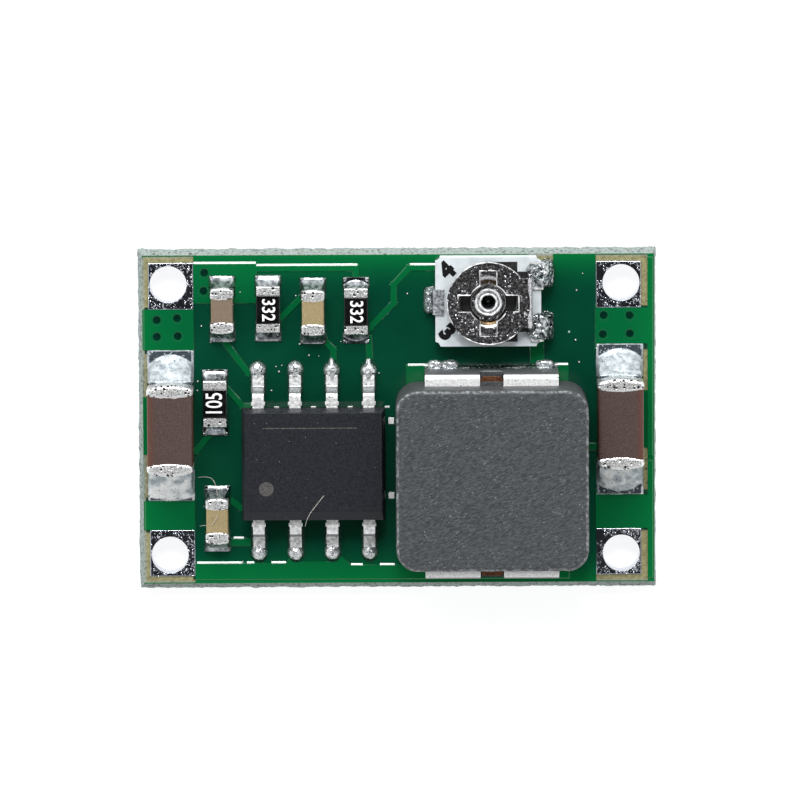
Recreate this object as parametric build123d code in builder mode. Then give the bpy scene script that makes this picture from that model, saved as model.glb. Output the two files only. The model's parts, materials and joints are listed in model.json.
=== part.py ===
from build123d import *
from math import radians, sin, tan
import os

# Step-down converter module: a snapped-out circuit board with its parts soldered on the top face.
# Millimetres. X runs along the board, Y across it, Z up. The origin is the middle of the four
# corner holes on the underside.

# Board outline
board_length = 17.64
board_width = 11.4
board_thickness = 0.8
snap_shift = 0.12  # the outline is snapped this far to +X of the hole pattern
score_depth = 0.25  # depth of the scored slope on each face
score_lip_left = 0.18  # how far the torn middle stands out at each end
score_lip_right = 0.08
score_lip_y = 0.22  # the same along the two long edges

# Layers
copper_thickness = 0.035
mask_thickness = 0.02
mask_slope = 45  # the mask climbs over a copper edge at this angle
mask_grip = 0.01  # mask beyond the copper's edge at full height
solder_film = 0.03
tin_thickness = 0.025

# Plated corner holes for wires
hole_pitch_x = 15.6
hole_pitch_y = 9.4
hole_radius = 0.635
plating = 0.04
land_length = 1.56
land_width = 1.62
land_inset_x = 0.09  # the lands sit this much nearer the middle than their holes
land_inset_y = 0.06
bare_reach_x = 8.71  # the mask is open beside the end pads and lands out to this distance
bare_reach_y = 5.67
land_bevel = 0.02

# Vias
via_radius = 0.13
via_wall = 0.02
via_sides = 6  # drawn six-sided, because the vias are tiny and many
via_places = (
    (-8.20, 3.48), (-7.50, 3.54), (-8.20, 2.90), (-7.48, 2.92),
    (-6.55, 5.11), (-6.58, 4.48),
    (7.20, 3.58), (8.09, 3.57), (7.17, 2.92), (8.10, 2.94),
)

# Small chip parts, 1.6 x 0.8 mm: middle of each on the board
small_length = 1.6
small_width = 0.8
small_pad_toe = 0.35  # each pad beyond the chip's end, and the solder on it
small_pad_side = 0.06
small_pad_under = 0.4
small_cap_height = 0.8
resistor_height = 0.45
small_cap_places = {
    "soft_start_capacitor": (-5.94, 3.85),
    "compensation_capacitor": (-2.81, 3.77),
    "boost_capacitor": (-6.15, -3.44),
}
resistor_places = {
    "compensation_resistor": (-4.36, 3.86),
    "feedback_resistor": (-1.33, 3.78),
    "enable_resistor": (-6.21, 0.60),
}

# Large chip capacitors, 3.2 x 1.6 mm
large_length = 3.2
large_width = 1.6
large_height = 1.6
large_pad_toe = 1.025
large_pad_side = 0.01
large_pad_under = 0.6
large_cap_places = {
    "input_capacitor": (-7.74, -0.20),
    "output_capacitor": (7.75, -0.04),
}

# Chip part details
cap_band = 0.38  # metal end cap along a small capacitor
large_cap_band = 0.42
band_bow = 0.07  # how far the cap's inner edge bows at the middle
cap_metal = 0.025
small_bevel = 0.035
large_bevel = 0.06
resistor_band = 0.31
resistor_metal = 0.025
resistor_bevel = 0.03
overcoat_thickness = 0.05
overcoat_inset = 0.016
overcoat_bevel = 0.02
solder_climb = 0.6  # share of a chip's height that its solder climbs
solder_hollow = 0.3  # how hollow the fillets are: 0.5 is straight

# Controller package
chip_x = -2.81
chip_y = -1.44
chip_length = 4.94
chip_width = 3.92
chip_thickness = 1.4
chip_standoff = 0.12
chip_draft = 9
chip_bevel = 0.28  # sloped edge on the pin 1 side
lead_pitch = 1.27
lead_count = 4  # on each side
lead_reach = 1.04  # from the body to the lead's tip
lead_thickness = 0.2
lead_width = 0.41
dam_width = 0.49  # stubs left by the cut dam bar
dam_length = 0.14
lead_bury = 0.5
shoulder_reach = 0.55  # from the body to the outer face of the bend
lead_lean = 0.09  # how far the riser leans outwards
lead_bend = 0.14
dot_radius = 0.265
dot_depth = 0.04
dot_x = -1.63
dot_y = -0.78
lead_pad_width = 0.58
lead_pad_length = 1.2
lead_pad_toe = 0.52  # pad beyond the lead's tip
lead_pad_corner = 0.18  # cut off each toe corner
lead_climb = 0.16  # solder up the tip of each lead
lead_bulge = 0.6  # how full that solder is: 0.5 is straight

# Inductor
coil_x = 3.32
coil_y = -1.80
coil_length = 6.6
coil_width = 6.25
coil_height = 3.0
coil_corner = 0.75
coil_bevel = 0.16
coil_gap = 0.05  # the core stands this far above its seat
terminal_stand = 0.445  # the terminals' outer faces stand this far from the core
terminal_width = 4.6
terminal_thickness = 0.2
terminal_exit = 1.56  # middle of the strip where it leaves the core
terminal_bury = 0.6
terminal_foot = 1.6
terminal_bend = 0.16
notch_width = 0.8
notch_bottom = 0.95
notch_radius = 0.2
coil_pad_toe = 0.14
coil_pad_depth = 1.9
coil_climb = 0.35  # solder up the outer face of each terminal

# Trimmer
trimmer_x = 3.22
trimmer_y = 4.13
base_length = 3.64
base_width = 3.1
base_thickness = 0.6
base_notch = 0.16
clip_thickness = 0.1
clip_bend = 0.051  # to the middle of the sheet
clip_finger = 0.37  # end terminal over the ceramic's top face
clip_foot = 0.5
clip_width = 0.95
clip_offset = 0.9
tab_width = 0.88
tab_finger = 0.3
film_thickness = 0.02
film_inner = 0.93
film_outer = 1.38
film_corner = 1.0  # where the wide square ends of the film stop
film_end_width = 0.28
rotor_radius = 1.43
sheet = 0.1
hub_lift = 0.02  # under the hub, above the ceramic
rotor_lift = 0.22  # under the spring ring, above the ceramic
rotor_gap = 0.16  # between the two folded layers
fold_start = 1.33
fold_width = 1.7
drive_slot_x = 2.07
drive_slot_y = 2.24
drive_slot_width = 0.56
rotor_opening = 0.67
spring_radius = 1.3
hub_radius = 0.6
window_radius = 0.98
bridge_width = 0.6
contact_reach = 1.155
contact_radius = 0.08
contact_root = 0.15
contact_gap = 0.02
turn_clearance = 0.03
eyelet_clearance = 0.01
eyelet_bore = 0.245
eyelet_wall = 0.085
eyelet_flange = 0.465
eyelet_flange_thickness = 0.07
eyelet_edge = 0.03
flange_gap = 0.02
trimmer_pad_reach = 0.42  # pads beyond the ceramic
trimmer_pad_under = 0.45
trimmer_bulge = 0.62

# Spans and levels
lead_span = chip_width + 2 * lead_reach
terminal_span = coil_width + 2 * terminal_stand
laminate_bottom = mask_thickness + copper_thickness
laminate_top = board_thickness - laminate_bottom
laminate_thickness = laminate_top - laminate_bottom
copper_top = laminate_top + copper_thickness
seat = copper_top + solder_film
mask_relief = copper_thickness + mask_thickness


def write(part, name):
    part.label = name
    export_step(part, "parts/" + name + ".step")


def side_plane(x, y):
    # Looks along the board: local x is +Y, local y is up.
    return Plane(origin=(x, y, 0), x_dir=(0, 1, 0), z_dir=(1, 0, 0))


def end_plane(x, y):
    # Looks across the board: local x is +X, local y is up.
    return Plane(origin=(x, y, 0), x_dir=(1, 0, 0), z_dir=(0, -1, 0))


def level(x, y, z):
    return Plane(origin=(x, y, z))


def bend(points, radius):
    # A strip's middle line, with each corner turned in two flat steps that touch an arc of this radius
    bent = [Vector(*points[0])]
    for before, corner, after in zip(points, points[1:], points[2:]):
        corner = Vector(*corner)
        back = (Vector(*before) - corner).normalized()
        ahead = (Vector(*after) - corner).normalized()
        half_angle = radians(back.get_angle(ahead)) / 2
        bisector = (back + ahead).normalized()
        bent.append(corner + back * (radius / tan(half_angle)))
        bent.append(corner + bisector * (radius / sin(half_angle) - radius))
        bent.append(corner + ahead * (radius / tan(half_angle)))
    return bent + [Vector(*points[-1])]


os.makedirs("parts", exist_ok=True)

# Corner lands: hole middle, land middle and the side of the board each is on
corners = {}
for y_name, y_side in (("front", -1), ("rear", 1)):
    for x_name, x_side in (("left", -1), ("right", 1)):
        hole_x = x_side * hole_pitch_x / 2
        hole_y = y_side * hole_pitch_y / 2
        land_x = hole_x - x_side * land_inset_x
        land_y = hole_y - y_side * land_inset_y
        corners[y_name + "_" + x_name] = (hole_x, hole_y, land_x, land_y, x_side, y_side)
hole_places = [(c[0], c[1]) for c in corners.values()]

# Pads as middle x, middle y, size in x, size in y
small_chip = (small_length, small_width, small_pad_toe, small_pad_side, small_pad_under)
large_chip = (large_length, large_width, large_pad_toe, large_pad_side, large_pad_under)
pads = []
for chip, places in (
    (small_chip, {**small_cap_places, **resistor_places}),
    (large_chip, large_cap_places),
):
    length, width, toe, side_room, under = chip
    for x, y in places.values():
        for side in (-1, 1):
            middle = y + side * (length + toe - under) / 2
            pads.append((x, middle, width + 2 * side_room, toe + under))

# Leads in pin order: the front row from the left, then the rear row from the right
lead_places = [
    (chip_x - side * (i - (lead_count - 1) / 2) * lead_pitch, side)
    for side in (-1, 1)
    for i in range(lead_count)
]
lead_pad_middle = lead_span / 2 + lead_pad_toe - lead_pad_length / 2
lead_pads = [
    (x, chip_y + side * lead_pad_middle, lead_pad_width, lead_pad_length) for x, side in lead_places
]

coil_pad_middle = terminal_span / 2 + coil_pad_toe - coil_pad_depth / 2
coil_pads = [
    (coil_x, coil_y + side * coil_pad_middle, terminal_width, coil_pad_depth) for side in (-1, 1)
]
pads += coil_pads

trimmer_pad_size = trimmer_pad_reach + trimmer_pad_under
trimmer_pad_middle = base_length / 2 + (trimmer_pad_reach - trimmer_pad_under) / 2
trimmer_pads = [
    (trimmer_x - trimmer_pad_middle, trimmer_y, trimmer_pad_size, tab_width),
    (trimmer_x + trimmer_pad_middle, trimmer_y + clip_offset, trimmer_pad_size, clip_width),
    (trimmer_x + trimmer_pad_middle, trimmer_y - clip_offset, trimmer_pad_size, clip_width),
]
pads += trimmer_pads

# Pours as low x, low y, high x, high y
pours = (
    (-8.62, 2.30, -6.95, 3.90),  # ground at the input end
    (-8.62, -3.90, -6.95, -2.70),  # input
    (6.93, 2.40, 8.86, 3.90),  # ground at the output end
    (6.93, -3.90, 8.86, -2.50),  # output
    (8.72, -1.30, 8.86, 5.55),  # ground strip along the right edge
    (8.72, -5.55, 8.86, -1.50),  # output strip along the right edge
    (-7.00, 4.06, -4.78, 5.40),  # ground round the soft start capacitor
    (-7.00, -5.55, -2.00, -5.02),  # input pour along the front edge
    (-1.78, -5.55, 0.70, -5.10),  # switch node along the front edge
    (0.60, -5.55, 5.97, -3.60),  # switch node under the inductor
    (0.41, -0.10, 5.97, 1.84),  # output under the inductor
)
pour_bridge = (-3.50, -5.55, -1.70, -4.98)  # the mask lies level across the gap between the two front pours

# Traces as width and points
traces = (
    (0.16, ((-4.80, 5.24), (-1.33, 5.24), (-1.33, 4.90))),
    (0.16, ((-5.94, 2.80), (-5.05, 1.60), (-4.72, 1.60))),
    (0.16, ((-2.81, 2.80), (-2.44, 2.75), (-2.12, 2.40), (-2.12, 1.90))),
    (0.16, ((-1.33, 2.80), (-0.90, 2.80), (-0.87, 2.20), (-0.90, 1.90))),
    (0.16, ((-4.36, 3.00), (-3.92, 3.52), (-3.32, 4.12), (-2.90, 4.60))),
    (0.16, ((-1.30, 2.95), (-0.86, 3.16), (-0.03, 4.03), (-0.03, 4.65), (0.51, 5.24), (1.90, 5.24))),
    (0.16, ((-6.00, 1.30), (-5.26, 0.46), (-4.60, 0.46))),
    (0.16, ((-6.22, -0.30), (-6.89, -1.09), (-7.20, -1.09), (-7.20, -1.90))),
    (0.16, ((-6.00, -2.60), (-5.34, -3.07), (-4.60, -3.07))),
    (0.22, ((-6.00, -4.26), (-4.80, -4.26))),
    (0.42, ((4.90, 3.00), (4.90, 1.60))),
    (0.30, ((-3.45, -4.70), (-3.70, -5.30))),
    (0.30, ((-2.18, -4.70), (-1.60, -5.30))),
    (0.20, ((3.22, 1.60), (3.22, -1.00), (7.30, -1.00), (7.30, -2.20))),
)


def draw_pads():
    for x, y, size_x, size_y in pads:
        with Locations((x, y)):
            Rectangle(size_x, size_y)
    for (x, y, size_x, size_y), (_, side) in zip(lead_pads, lead_places):
        heel = y - side * size_y / 2
        toe = y + side * size_y / 2
        shoulder = toe - side * lead_pad_corner
        nose = size_x / 2 - lead_pad_corner
        outline = (
            (x - size_x / 2, heel), (x - size_x / 2, shoulder), (x - nose, toe),
            (x + nose, toe), (x + size_x / 2, shoulder), (x + size_x / 2, heel),
        )
        Polygon(*outline, align=None)


def draw_land(corner, grow, mode):
    _, _, x, y, _, _ = corner
    with Locations((x, y)):
        Rectangle(land_length + 2 * grow, land_width + 2 * grow, mode=mode)


def draw_vias(mode):
    with Locations(*via_places):
        RegularPolygon(via_radius, via_sides, mode=mode)


def draw_box(x_one, y_one, x_two, y_two):
    with Locations(((x_one + x_two) / 2, (y_one + y_two) / 2)):
        Rectangle(abs(x_two - x_one), abs(y_two - y_one))


def draw_bare_edges():
    # Where the mask stops short of the board's edge, outside the lands and the large pads
    for _, _, x, y, x_side, y_side in corners.values():
        inner_x = x - x_side * land_length / 2
        inner_y = y - y_side * land_width / 2
        draw_box(inner_x, inner_y, x_side * bare_reach_x, y_side * bare_reach_y)
    for x, y in large_cap_places.values():
        x_side = 1 if x > 0 else -1
        for side in (-1, 1):
            heel = y + side * (large_length / 2 - large_pad_under)
            toe = y + side * (large_length / 2 + large_pad_toe)
            draw_box(x, heel, x_side * bare_reach_x, toe)
    rear_clip = trimmer_pads[1]
    clip_left = rear_clip[0] - rear_clip[2] / 2
    draw_box(clip_left, rear_clip[1], rear_clip[0] + rear_clip[2] / 2, board_width)


# Board laminate, with a V score on every edge and a torn middle that stands out
with BuildPart() as board_laminate:
    lip_length = board_length + score_lip_left + score_lip_right
    lip_width = board_width + 2 * score_lip_y
    lip_shift = snap_shift + (score_lip_right - score_lip_left) / 2
    slope_levels = (
        (laminate_bottom, laminate_bottom + score_depth),
        (laminate_top, laminate_top - score_depth),
    )
    for face_level, lip_level in slope_levels:
        with BuildSketch(level(snap_shift, 0, face_level)):
            Rectangle(board_length, board_width)
        with BuildSketch(level(lip_shift, 0, lip_level)):
            Rectangle(lip_length, lip_width)
        loft(ruled=True)
    with BuildSketch(level(lip_shift, 0, laminate_bottom + score_depth)):
        Rectangle(lip_length, lip_width)
    extrude(amount=laminate_thickness - 2 * score_depth)
    with Locations(*hole_places):
        Hole(radius=hole_radius + plating)
    with BuildSketch(Plane.XY.offset(laminate_bottom)):
        draw_vias(Mode.ADD)
    extrude(amount=laminate_thickness, mode=Mode.SUBTRACT)
write(board_laminate.part, "board_laminate")

# Plated corner holes, each a top land, a barrel and a bottom land in one piece
for corner_name, corner in corners.items():
    with BuildPart() as plated_hole:
        with BuildSketch(Plane.XY.offset(laminate_top)):
            draw_land(corner, 0, Mode.ADD)
        extrude(amount=copper_thickness + tin_thickness)
        chamfer(plated_hole.edges().group_by(Axis.Z)[-1], land_bevel)
        with BuildSketch():
            draw_land(corner, 0, Mode.ADD)
        extrude(amount=laminate_bottom)
        with BuildSketch():
            with Locations((corner[0], corner[1])):
                Circle(hole_radius + plating)
        extrude(amount=laminate_top)
        with Locations((corner[0], corner[1])):
            Hole(radius=hole_radius)
    write(plated_hole.part, "plated_hole_" + corner_name)

# Via barrels
with BuildPart() as via_barrels:
    with BuildSketch(Plane.XY.offset(mask_thickness)):
        draw_vias(Mode.ADD)
        with Locations(*via_places):
            RegularPolygon(via_radius - via_wall, via_sides, mode=Mode.SUBTRACT)
    extrude(amount=copper_top - mask_thickness)
write(via_barrels.part, "via_barrels")

# Copper on the top face
with BuildPart() as top_copper:
    with BuildSketch(Plane.XY.offset(laminate_top)):
        for low_x, low_y, high_x, high_y in pours:
            draw_box(low_x, low_y, high_x, high_y)
        draw_pads()
        for width, points in traces:
            with BuildLine():
                Polyline(*points)
            trace(line_width=width)
        for corner in corners.values():
            draw_land(corner, 0, Mode.SUBTRACT)
        draw_vias(Mode.SUBTRACT)
    extrude(amount=copper_thickness)
write(top_copper.part, "top_copper")

# Copper on the underside: a ground pour that joins the two rear lands and clears the front ones
pour_margin = 0.3
land_clearance = 0.25
with BuildPart() as bottom_copper:
    with BuildSketch(Plane.XY.offset(mask_thickness)):
        with Locations((snap_shift, 0)):
            Rectangle(board_length - 2 * pour_margin, board_width - 2 * pour_margin)
        for corner in corners.values():
            grow = land_clearance if corner[5] < 0 else 0
            draw_land(corner, grow, Mode.SUBTRACT)
        draw_vias(Mode.SUBTRACT)
    extrude(amount=copper_thickness)
write(bottom_copper.part, "bottom_copper")

# Solder mask on the top face: a thin sheet that climbs over every copper edge
mask_foot = mask_grip + mask_relief
with BuildPart() as top_solder_mask:
    with BuildSketch(level(snap_shift, 0, laminate_top)):
        Rectangle(board_length, board_width)
    extrude(amount=mask_thickness)
    for low_x, low_y, high_x, high_y in (*pours, pour_bridge):
        middle = ((low_x + high_x) / 2, (low_y + high_y) / 2)
        with BuildSketch(level(middle[0], middle[1], laminate_top)):
            Rectangle(high_x - low_x + 2 * mask_foot, high_y - low_y + 2 * mask_foot)
        extrude(amount=mask_relief, taper=mask_slope)
    for width, points in traces:
        for start, end in zip(points, points[1:]):
            with BuildSketch(Plane.XY.offset(laminate_top)):
                run = Line(start, end, mode=Mode.PRIVATE)
                with Locations(run @ 0.5):
                    Rectangle(
                        run.length + width + 2 * mask_foot,
                        width + 2 * mask_foot,
                        rotation=run.tangent_angle_at(0.5),
                    )
            extrude(amount=mask_relief, taper=mask_slope)
    with BuildSketch(level(snap_shift, 0, laminate_top)):
        Rectangle(board_length, board_width)
    extrude(amount=mask_relief, mode=Mode.INTERSECT)
    add(top_copper.part, mode=Mode.SUBTRACT)
    with BuildSketch(Plane.XY.offset(laminate_top)):
        draw_pads()
        draw_bare_edges()
    extrude(amount=mask_relief, mode=Mode.SUBTRACT)
    with BuildSketch(Plane.XY.offset(laminate_top)):
        draw_vias(Mode.ADD)
    extrude(amount=copper_thickness, mode=Mode.SUBTRACT)
write(top_solder_mask.part, "top_solder_mask")

# Solder mask on the underside, flush with the four lands
with BuildPart() as bottom_solder_mask:
    with BuildSketch(level(snap_shift, 0, 0)):
        Rectangle(board_length, board_width)
    extrude(amount=laminate_bottom)
    add(bottom_copper.part, mode=Mode.SUBTRACT)
    with BuildSketch():
        for corner in corners.values():
            draw_land(corner, 0, Mode.ADD)
    extrude(amount=laminate_bottom, mode=Mode.SUBTRACT)
    with BuildSketch(Plane.XY.offset(mask_thickness)):
        draw_vias(Mode.ADD)
    extrude(amount=copper_thickness, mode=Mode.SUBTRACT)
write(bottom_solder_mask.part, "bottom_solder_mask")


def chip_capacitor(name, place, length, width, height, band, bevel):
    # A ceramic block with a metal cap over each end
    x, y = place
    with BuildPart() as ceramic:
        with BuildSketch(level(x, y, seat + cap_metal)):
            Rectangle(width - 2 * cap_metal, length - 2 * cap_metal)
        extrude(amount=height - 2 * cap_metal)
        chamfer(ceramic.edges().filter_by(Axis.Y), bevel)
    write(ceramic.part, name + "_ceramic")
    with BuildPart() as end_caps:
        with BuildSketch(level(x, y, seat)):
            with BuildLine():
                inner = length / 2 - band
                Polyline(
                    (width / 2, inner), (width / 2, length / 2), (-width / 2, length / 2), (-width / 2, inner)
                )
                ThreePointArc((-width / 2, inner), (0, inner - band_bow), (width / 2, inner))
            make_face()
        extrude(amount=height)
        chamfer(end_caps.edges().filter_by(Axis.Y), bevel)
        chamfer(end_caps.faces().sort_by(Axis.Y)[-1].outer_wire().edges(), bevel)
        mirror(about=level(x, y, 0).rotated((90, 0, 0)))
        add(ceramic.part, mode=Mode.SUBTRACT)
    write(end_caps.part, name + "_end_caps")


def chip_resistor(name, place):
    # An alumina plate with wrapped terminals at its ends and a dark glassy coat between them
    x, y = place
    end = small_length / 2
    with BuildPart() as substrate:
        with BuildSketch(level(x, y, seat + resistor_metal)):
            Rectangle(small_width, small_length - 2 * resistor_metal)
        extrude(amount=resistor_height - 2 * resistor_metal)
    write(substrate.part, name + "_substrate")
    with BuildPart() as terminals:
        with BuildSketch(side_plane(x, y)):
            for side in (-1, 1):
                with Locations((side * (end - resistor_band / 2), seat + resistor_height / 2)):
                    Rectangle(resistor_band, resistor_height)
        extrude(amount=small_width / 2, both=True)
        upper_edges = terminals.edges().filter_by(Axis.X).group_by(Axis.Z)[-1].sort_by(Axis.Y)
        chamfer((upper_edges[0], upper_edges[-1]), resistor_bevel)
        add(substrate.part, mode=Mode.SUBTRACT)
    write(terminals.part, name + "_terminals")
    with BuildPart() as overcoat:
        with BuildSketch(level(x, y, seat + resistor_height - resistor_metal)):
            Rectangle(small_width - 2 * overcoat_inset, small_length - 2 * resistor_band)
        extrude(amount=overcoat_thickness)
        chamfer(overcoat.edges().group_by(Axis.Z)[-1], overcoat_bevel)
    write(overcoat.part, name + "_overcoat")


def chip_solder(name, place, chip, climb):
    # A hollow fillet from the end of each pad up the end of the chip
    x, y = place
    length, width, pad_toe, pad_side, pad_under = chip
    end = length / 2
    toe = end + pad_toe
    heel = end - pad_under
    pad_width = width + 2 * pad_side
    with BuildPart() as joints:
        with BuildSketch(side_plane(x, y)):
            for side in (-1, 1):
                with BuildLine():
                    foot = (side * toe, seat)
                    top = (side * end, seat + climb)
                    hollow = (side * (end + (toe - end) * solder_hollow), seat + climb * solder_hollow)
                    Polyline((side * toe, seat), (side * toe, copper_top), (side * heel, copper_top),
                             (side * heel, seat), (side * end, seat), top)
                    ThreePointArc(top, hollow, foot)
                make_face()
        extrude(amount=pad_width / 2, both=True)
        with BuildSketch(end_plane(x, y)):
            with BuildLine():
                Polyline(
                    (-pad_width / 2, copper_top), (pad_width / 2, copper_top), (pad_width / 2, seat),
                    (width / 2, seat + climb), (-width / 2, seat + climb), (-pad_width / 2, seat), close=True,
                )
            make_face()
        extrude(amount=toe, both=True, mode=Mode.INTERSECT)
    write(joints.part, name + "_solder")


for part_name, place in small_cap_places.items():
    chip_capacitor(part_name, place, small_length, small_width, small_cap_height, cap_band, small_bevel)
    chip_solder(part_name, place, small_chip, small_cap_height * solder_climb)
for part_name, place in large_cap_places.items():
    chip_capacitor(part_name, place, large_length, large_width, large_height, large_cap_band, large_bevel)
    chip_solder(part_name, place, large_chip, large_height * solder_climb)
for part_name, place in resistor_places.items():
    chip_resistor(part_name, place)
    chip_solder(part_name, place, small_chip, resistor_height * solder_climb)

# Controller leads: one gull-wing strip, bent from the body down to its pad
lead_level = seat + chip_standoff + chip_thickness / 2
lead_exit = chip_width / 2
lead_foot = seat + lead_thickness / 2
leads = []
for number, (x, side) in enumerate(lead_places, start=1):
    with BuildPart() as lead:
        with BuildSketch(side_plane(x, chip_y)):
            with BuildLine():
                riser_top = lead_exit + shoulder_reach - lead_thickness / 2
                route = (
                    (side * (lead_exit - lead_bury), lead_level),
                    (side * riser_top, lead_level),
                    (side * (riser_top + lead_lean), lead_foot),
                    (side * lead_span / 2, lead_foot),
                )
                Polyline(*bend(route, lead_bend))
            trace(line_width=lead_thickness)
        extrude(amount=lead_width / 2, both=True)
        dam_y = chip_y + side * (lead_exit + dam_length)
        with BuildSketch(level(x, dam_y, lead_level - lead_thickness / 2)):
            Rectangle(dam_width, dam_length)
        extrude(amount=lead_thickness)
    write(lead.part, "controller_lead_" + str(number))
    leads.append(lead.part)

# Controller body, drafted up and down from the parting line, with the pin 1 bevel and dot
with BuildPart() as controller_body:
    with BuildSketch(level(chip_x, chip_y, lead_level)):
        Rectangle(chip_length, chip_width)
    extrude(amount=chip_thickness / 2, taper=chip_draft)
    with BuildSketch(level(chip_x, chip_y, lead_level)):
        Rectangle(chip_length, chip_width)
    extrude(amount=-chip_thickness / 2, taper=chip_draft)
    top_front = controller_body.edges().group_by(Axis.Z)[-1].sort_by(Axis.Y)[0]
    chamfer(top_front, chip_bevel)
    with BuildSketch(level(chip_x + dot_x, chip_y + dot_y, lead_level + chip_thickness / 2)):
        Circle(dot_radius)
    extrude(amount=-dot_depth, mode=Mode.SUBTRACT)
    for lead_part in leads:
        add(lead_part, mode=Mode.SUBTRACT)
write(controller_body.part, "controller_body")

# Controller solder: a film under each foot that rises to the lead's tip in a full, rounded toe
heel_reach = lead_span / 2 - lead_pad_length + lead_pad_toe
with BuildPart() as controller_solder:
    for x, side in lead_places:
        tip = lead_span / 2
        toe = tip + lead_pad_toe
        with BuildSketch(side_plane(x, chip_y)):
            with BuildLine():
                Polyline(
                    (side * toe, seat), (side * toe, copper_top), (side * heel_reach, copper_top),
                    (side * heel_reach, seat), (side * tip, seat), (side * tip, seat + lead_climb),
                )
                ThreePointArc(
                    (side * tip, seat + lead_climb),
                    (side * (tip + lead_pad_toe * lead_bulge), seat + lead_climb * lead_bulge),
                    (side * toe, seat),
                )
            make_face()
        extrude(amount=lead_pad_width / 2, both=True)
    toe_edges = controller_solder.edges().filter_by(Axis.Z)
    toe_reach = lead_span / 2 + lead_pad_toe
    outer = toe_edges.filter_by(lambda edge: abs(edge.center().Y - chip_y) > toe_reach - solder_film)
    chamfer(outer, lead_pad_corner)
write(controller_solder.part, "controller_solder")

# Inductor terminals: flat strips folded down the side and under the core, with a notch in the bend
core_bottom = seat + coil_gap
strip_foot = seat + terminal_thickness / 2
notch_height = 2 * (terminal_exit + terminal_thickness - notch_bottom)
inductor_terminals = []
for side_name, side in (("front", -1), ("rear", 1)):
    with BuildPart() as terminal:
        with BuildSketch(side_plane(coil_x, coil_y)):
            with BuildLine():
                drop = side * (terminal_span / 2 - terminal_thickness / 2)
                route = (
                    (side * (coil_width / 2 - terminal_bury), seat + terminal_exit),
                    (drop, seat + terminal_exit),
                    (drop, strip_foot),
                    (side * (coil_width / 2 - terminal_foot), strip_foot),
                )
                Polyline(*bend(route, terminal_bend))
            trace(line_width=terminal_thickness)
        extrude(amount=terminal_width / 2, both=True)
        with BuildSketch(end_plane(coil_x, coil_y + side * coil_width / 2)):
            with Locations((0, seat + notch_bottom + notch_height / 2)):
                RectangleRounded(notch_width, notch_height, notch_radius)
        extrude(amount=-side * terminal_span / 2, mode=Mode.SUBTRACT)
    write(terminal.part, "inductor_terminal_" + side_name)
    inductor_terminals.append(terminal.part)

# Inductor core with sockets for its terminals
with BuildPart() as inductor_core:
    with BuildSketch(level(coil_x, coil_y, core_bottom)):
        RectangleRounded(coil_length, coil_width, coil_corner)
    extrude(amount=coil_height - coil_gap)
    chamfer(inductor_core.edges().group_by(Axis.Z)[-1], coil_bevel)
    for terminal_part in inductor_terminals:
        add(terminal_part, mode=Mode.SUBTRACT)
    for side in (-1, 1):
        with BuildSketch(level(coil_x, coil_y + side * (coil_width - terminal_foot) / 2, core_bottom)):
            Rectangle(terminal_width, terminal_foot)
        extrude(amount=terminal_thickness - coil_gap, mode=Mode.SUBTRACT)
write(inductor_core.part, "inductor_core")

# Inductor solder: a film under each foot and a low fillet along its outer face
with BuildPart() as inductor_solder:
    with BuildSketch(side_plane(coil_x, coil_y)):
        for side in (-1, 1):
            with BuildLine():
                face = side * terminal_span / 2
                toe = side * (terminal_span / 2 + coil_pad_toe)
                heel = side * (terminal_span / 2 + coil_pad_toe - coil_pad_depth)
                Polyline((toe, seat), (toe, copper_top), (heel, copper_top), (heel, seat), (face, seat),
                         (face, seat + coil_climb))
                ThreePointArc(
                    (face, seat + coil_climb),
                    (face + (toe - face) * solder_hollow, seat + coil_climb * solder_hollow),
                    (toe, seat),
                )
            make_face()
    extrude(amount=terminal_width / 2, both=True)
    for terminal_part in inductor_terminals:
        add(terminal_part, mode=Mode.SUBTRACT)
write(inductor_solder.part, "inductor_solder")

# Trimmer levels
base_bottom = seat + clip_thickness
base_top = base_bottom + base_thickness
hub_low = base_top + hub_lift
spring_low = base_top + rotor_lift
spring_high = spring_low + sheet
rotor_low = spring_high + rotor_gap
rotor_top = rotor_low + sheet
eyelet_radius = eyelet_bore + eyelet_wall
trimmer_side = end_plane(trimmer_x, trimmer_y)

# Trimmer base: an alumina plate with notched corners and a hole for the eyelet
with BuildPart() as trimmer_base:
    with BuildSketch(level(trimmer_x, trimmer_y, base_bottom)):
        Rectangle(base_length, base_width)
        with GridLocations(base_length, base_width, 2, 2):
            Circle(base_notch, mode=Mode.SUBTRACT)
        Circle(eyelet_radius + eyelet_clearance, mode=Mode.SUBTRACT)
    extrude(amount=base_thickness)
write(trimmer_base.part, "trimmer_base")

# Trimmer track: a horseshoe of resistive film with square ends at the two end terminals
with BuildPart() as trimmer_track:
    with BuildSketch(level(trimmer_x, trimmer_y, base_top)):
        Circle(film_outer)
        Circle(film_inner, mode=Mode.SUBTRACT)
        with Locations((film_outer / 2, 0)):
            Rectangle(film_outer, 2 * film_outer, mode=Mode.SUBTRACT)
        leg_middle = (film_inner + film_outer) / 2
        with Locations((film_corner / 2, leg_middle), (film_corner / 2, -leg_middle)):
            Rectangle(film_corner, film_outer - film_inner)
        end_length = base_length / 2 - clip_finger - film_corner
        end_middle = film_corner + end_length / 2
        with Locations((end_middle, clip_offset), (end_middle, -clip_offset)):
            Rectangle(end_length, film_end_width)
    extrude(amount=film_thickness)
write(trimmer_track.part, "trimmer_track")

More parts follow.
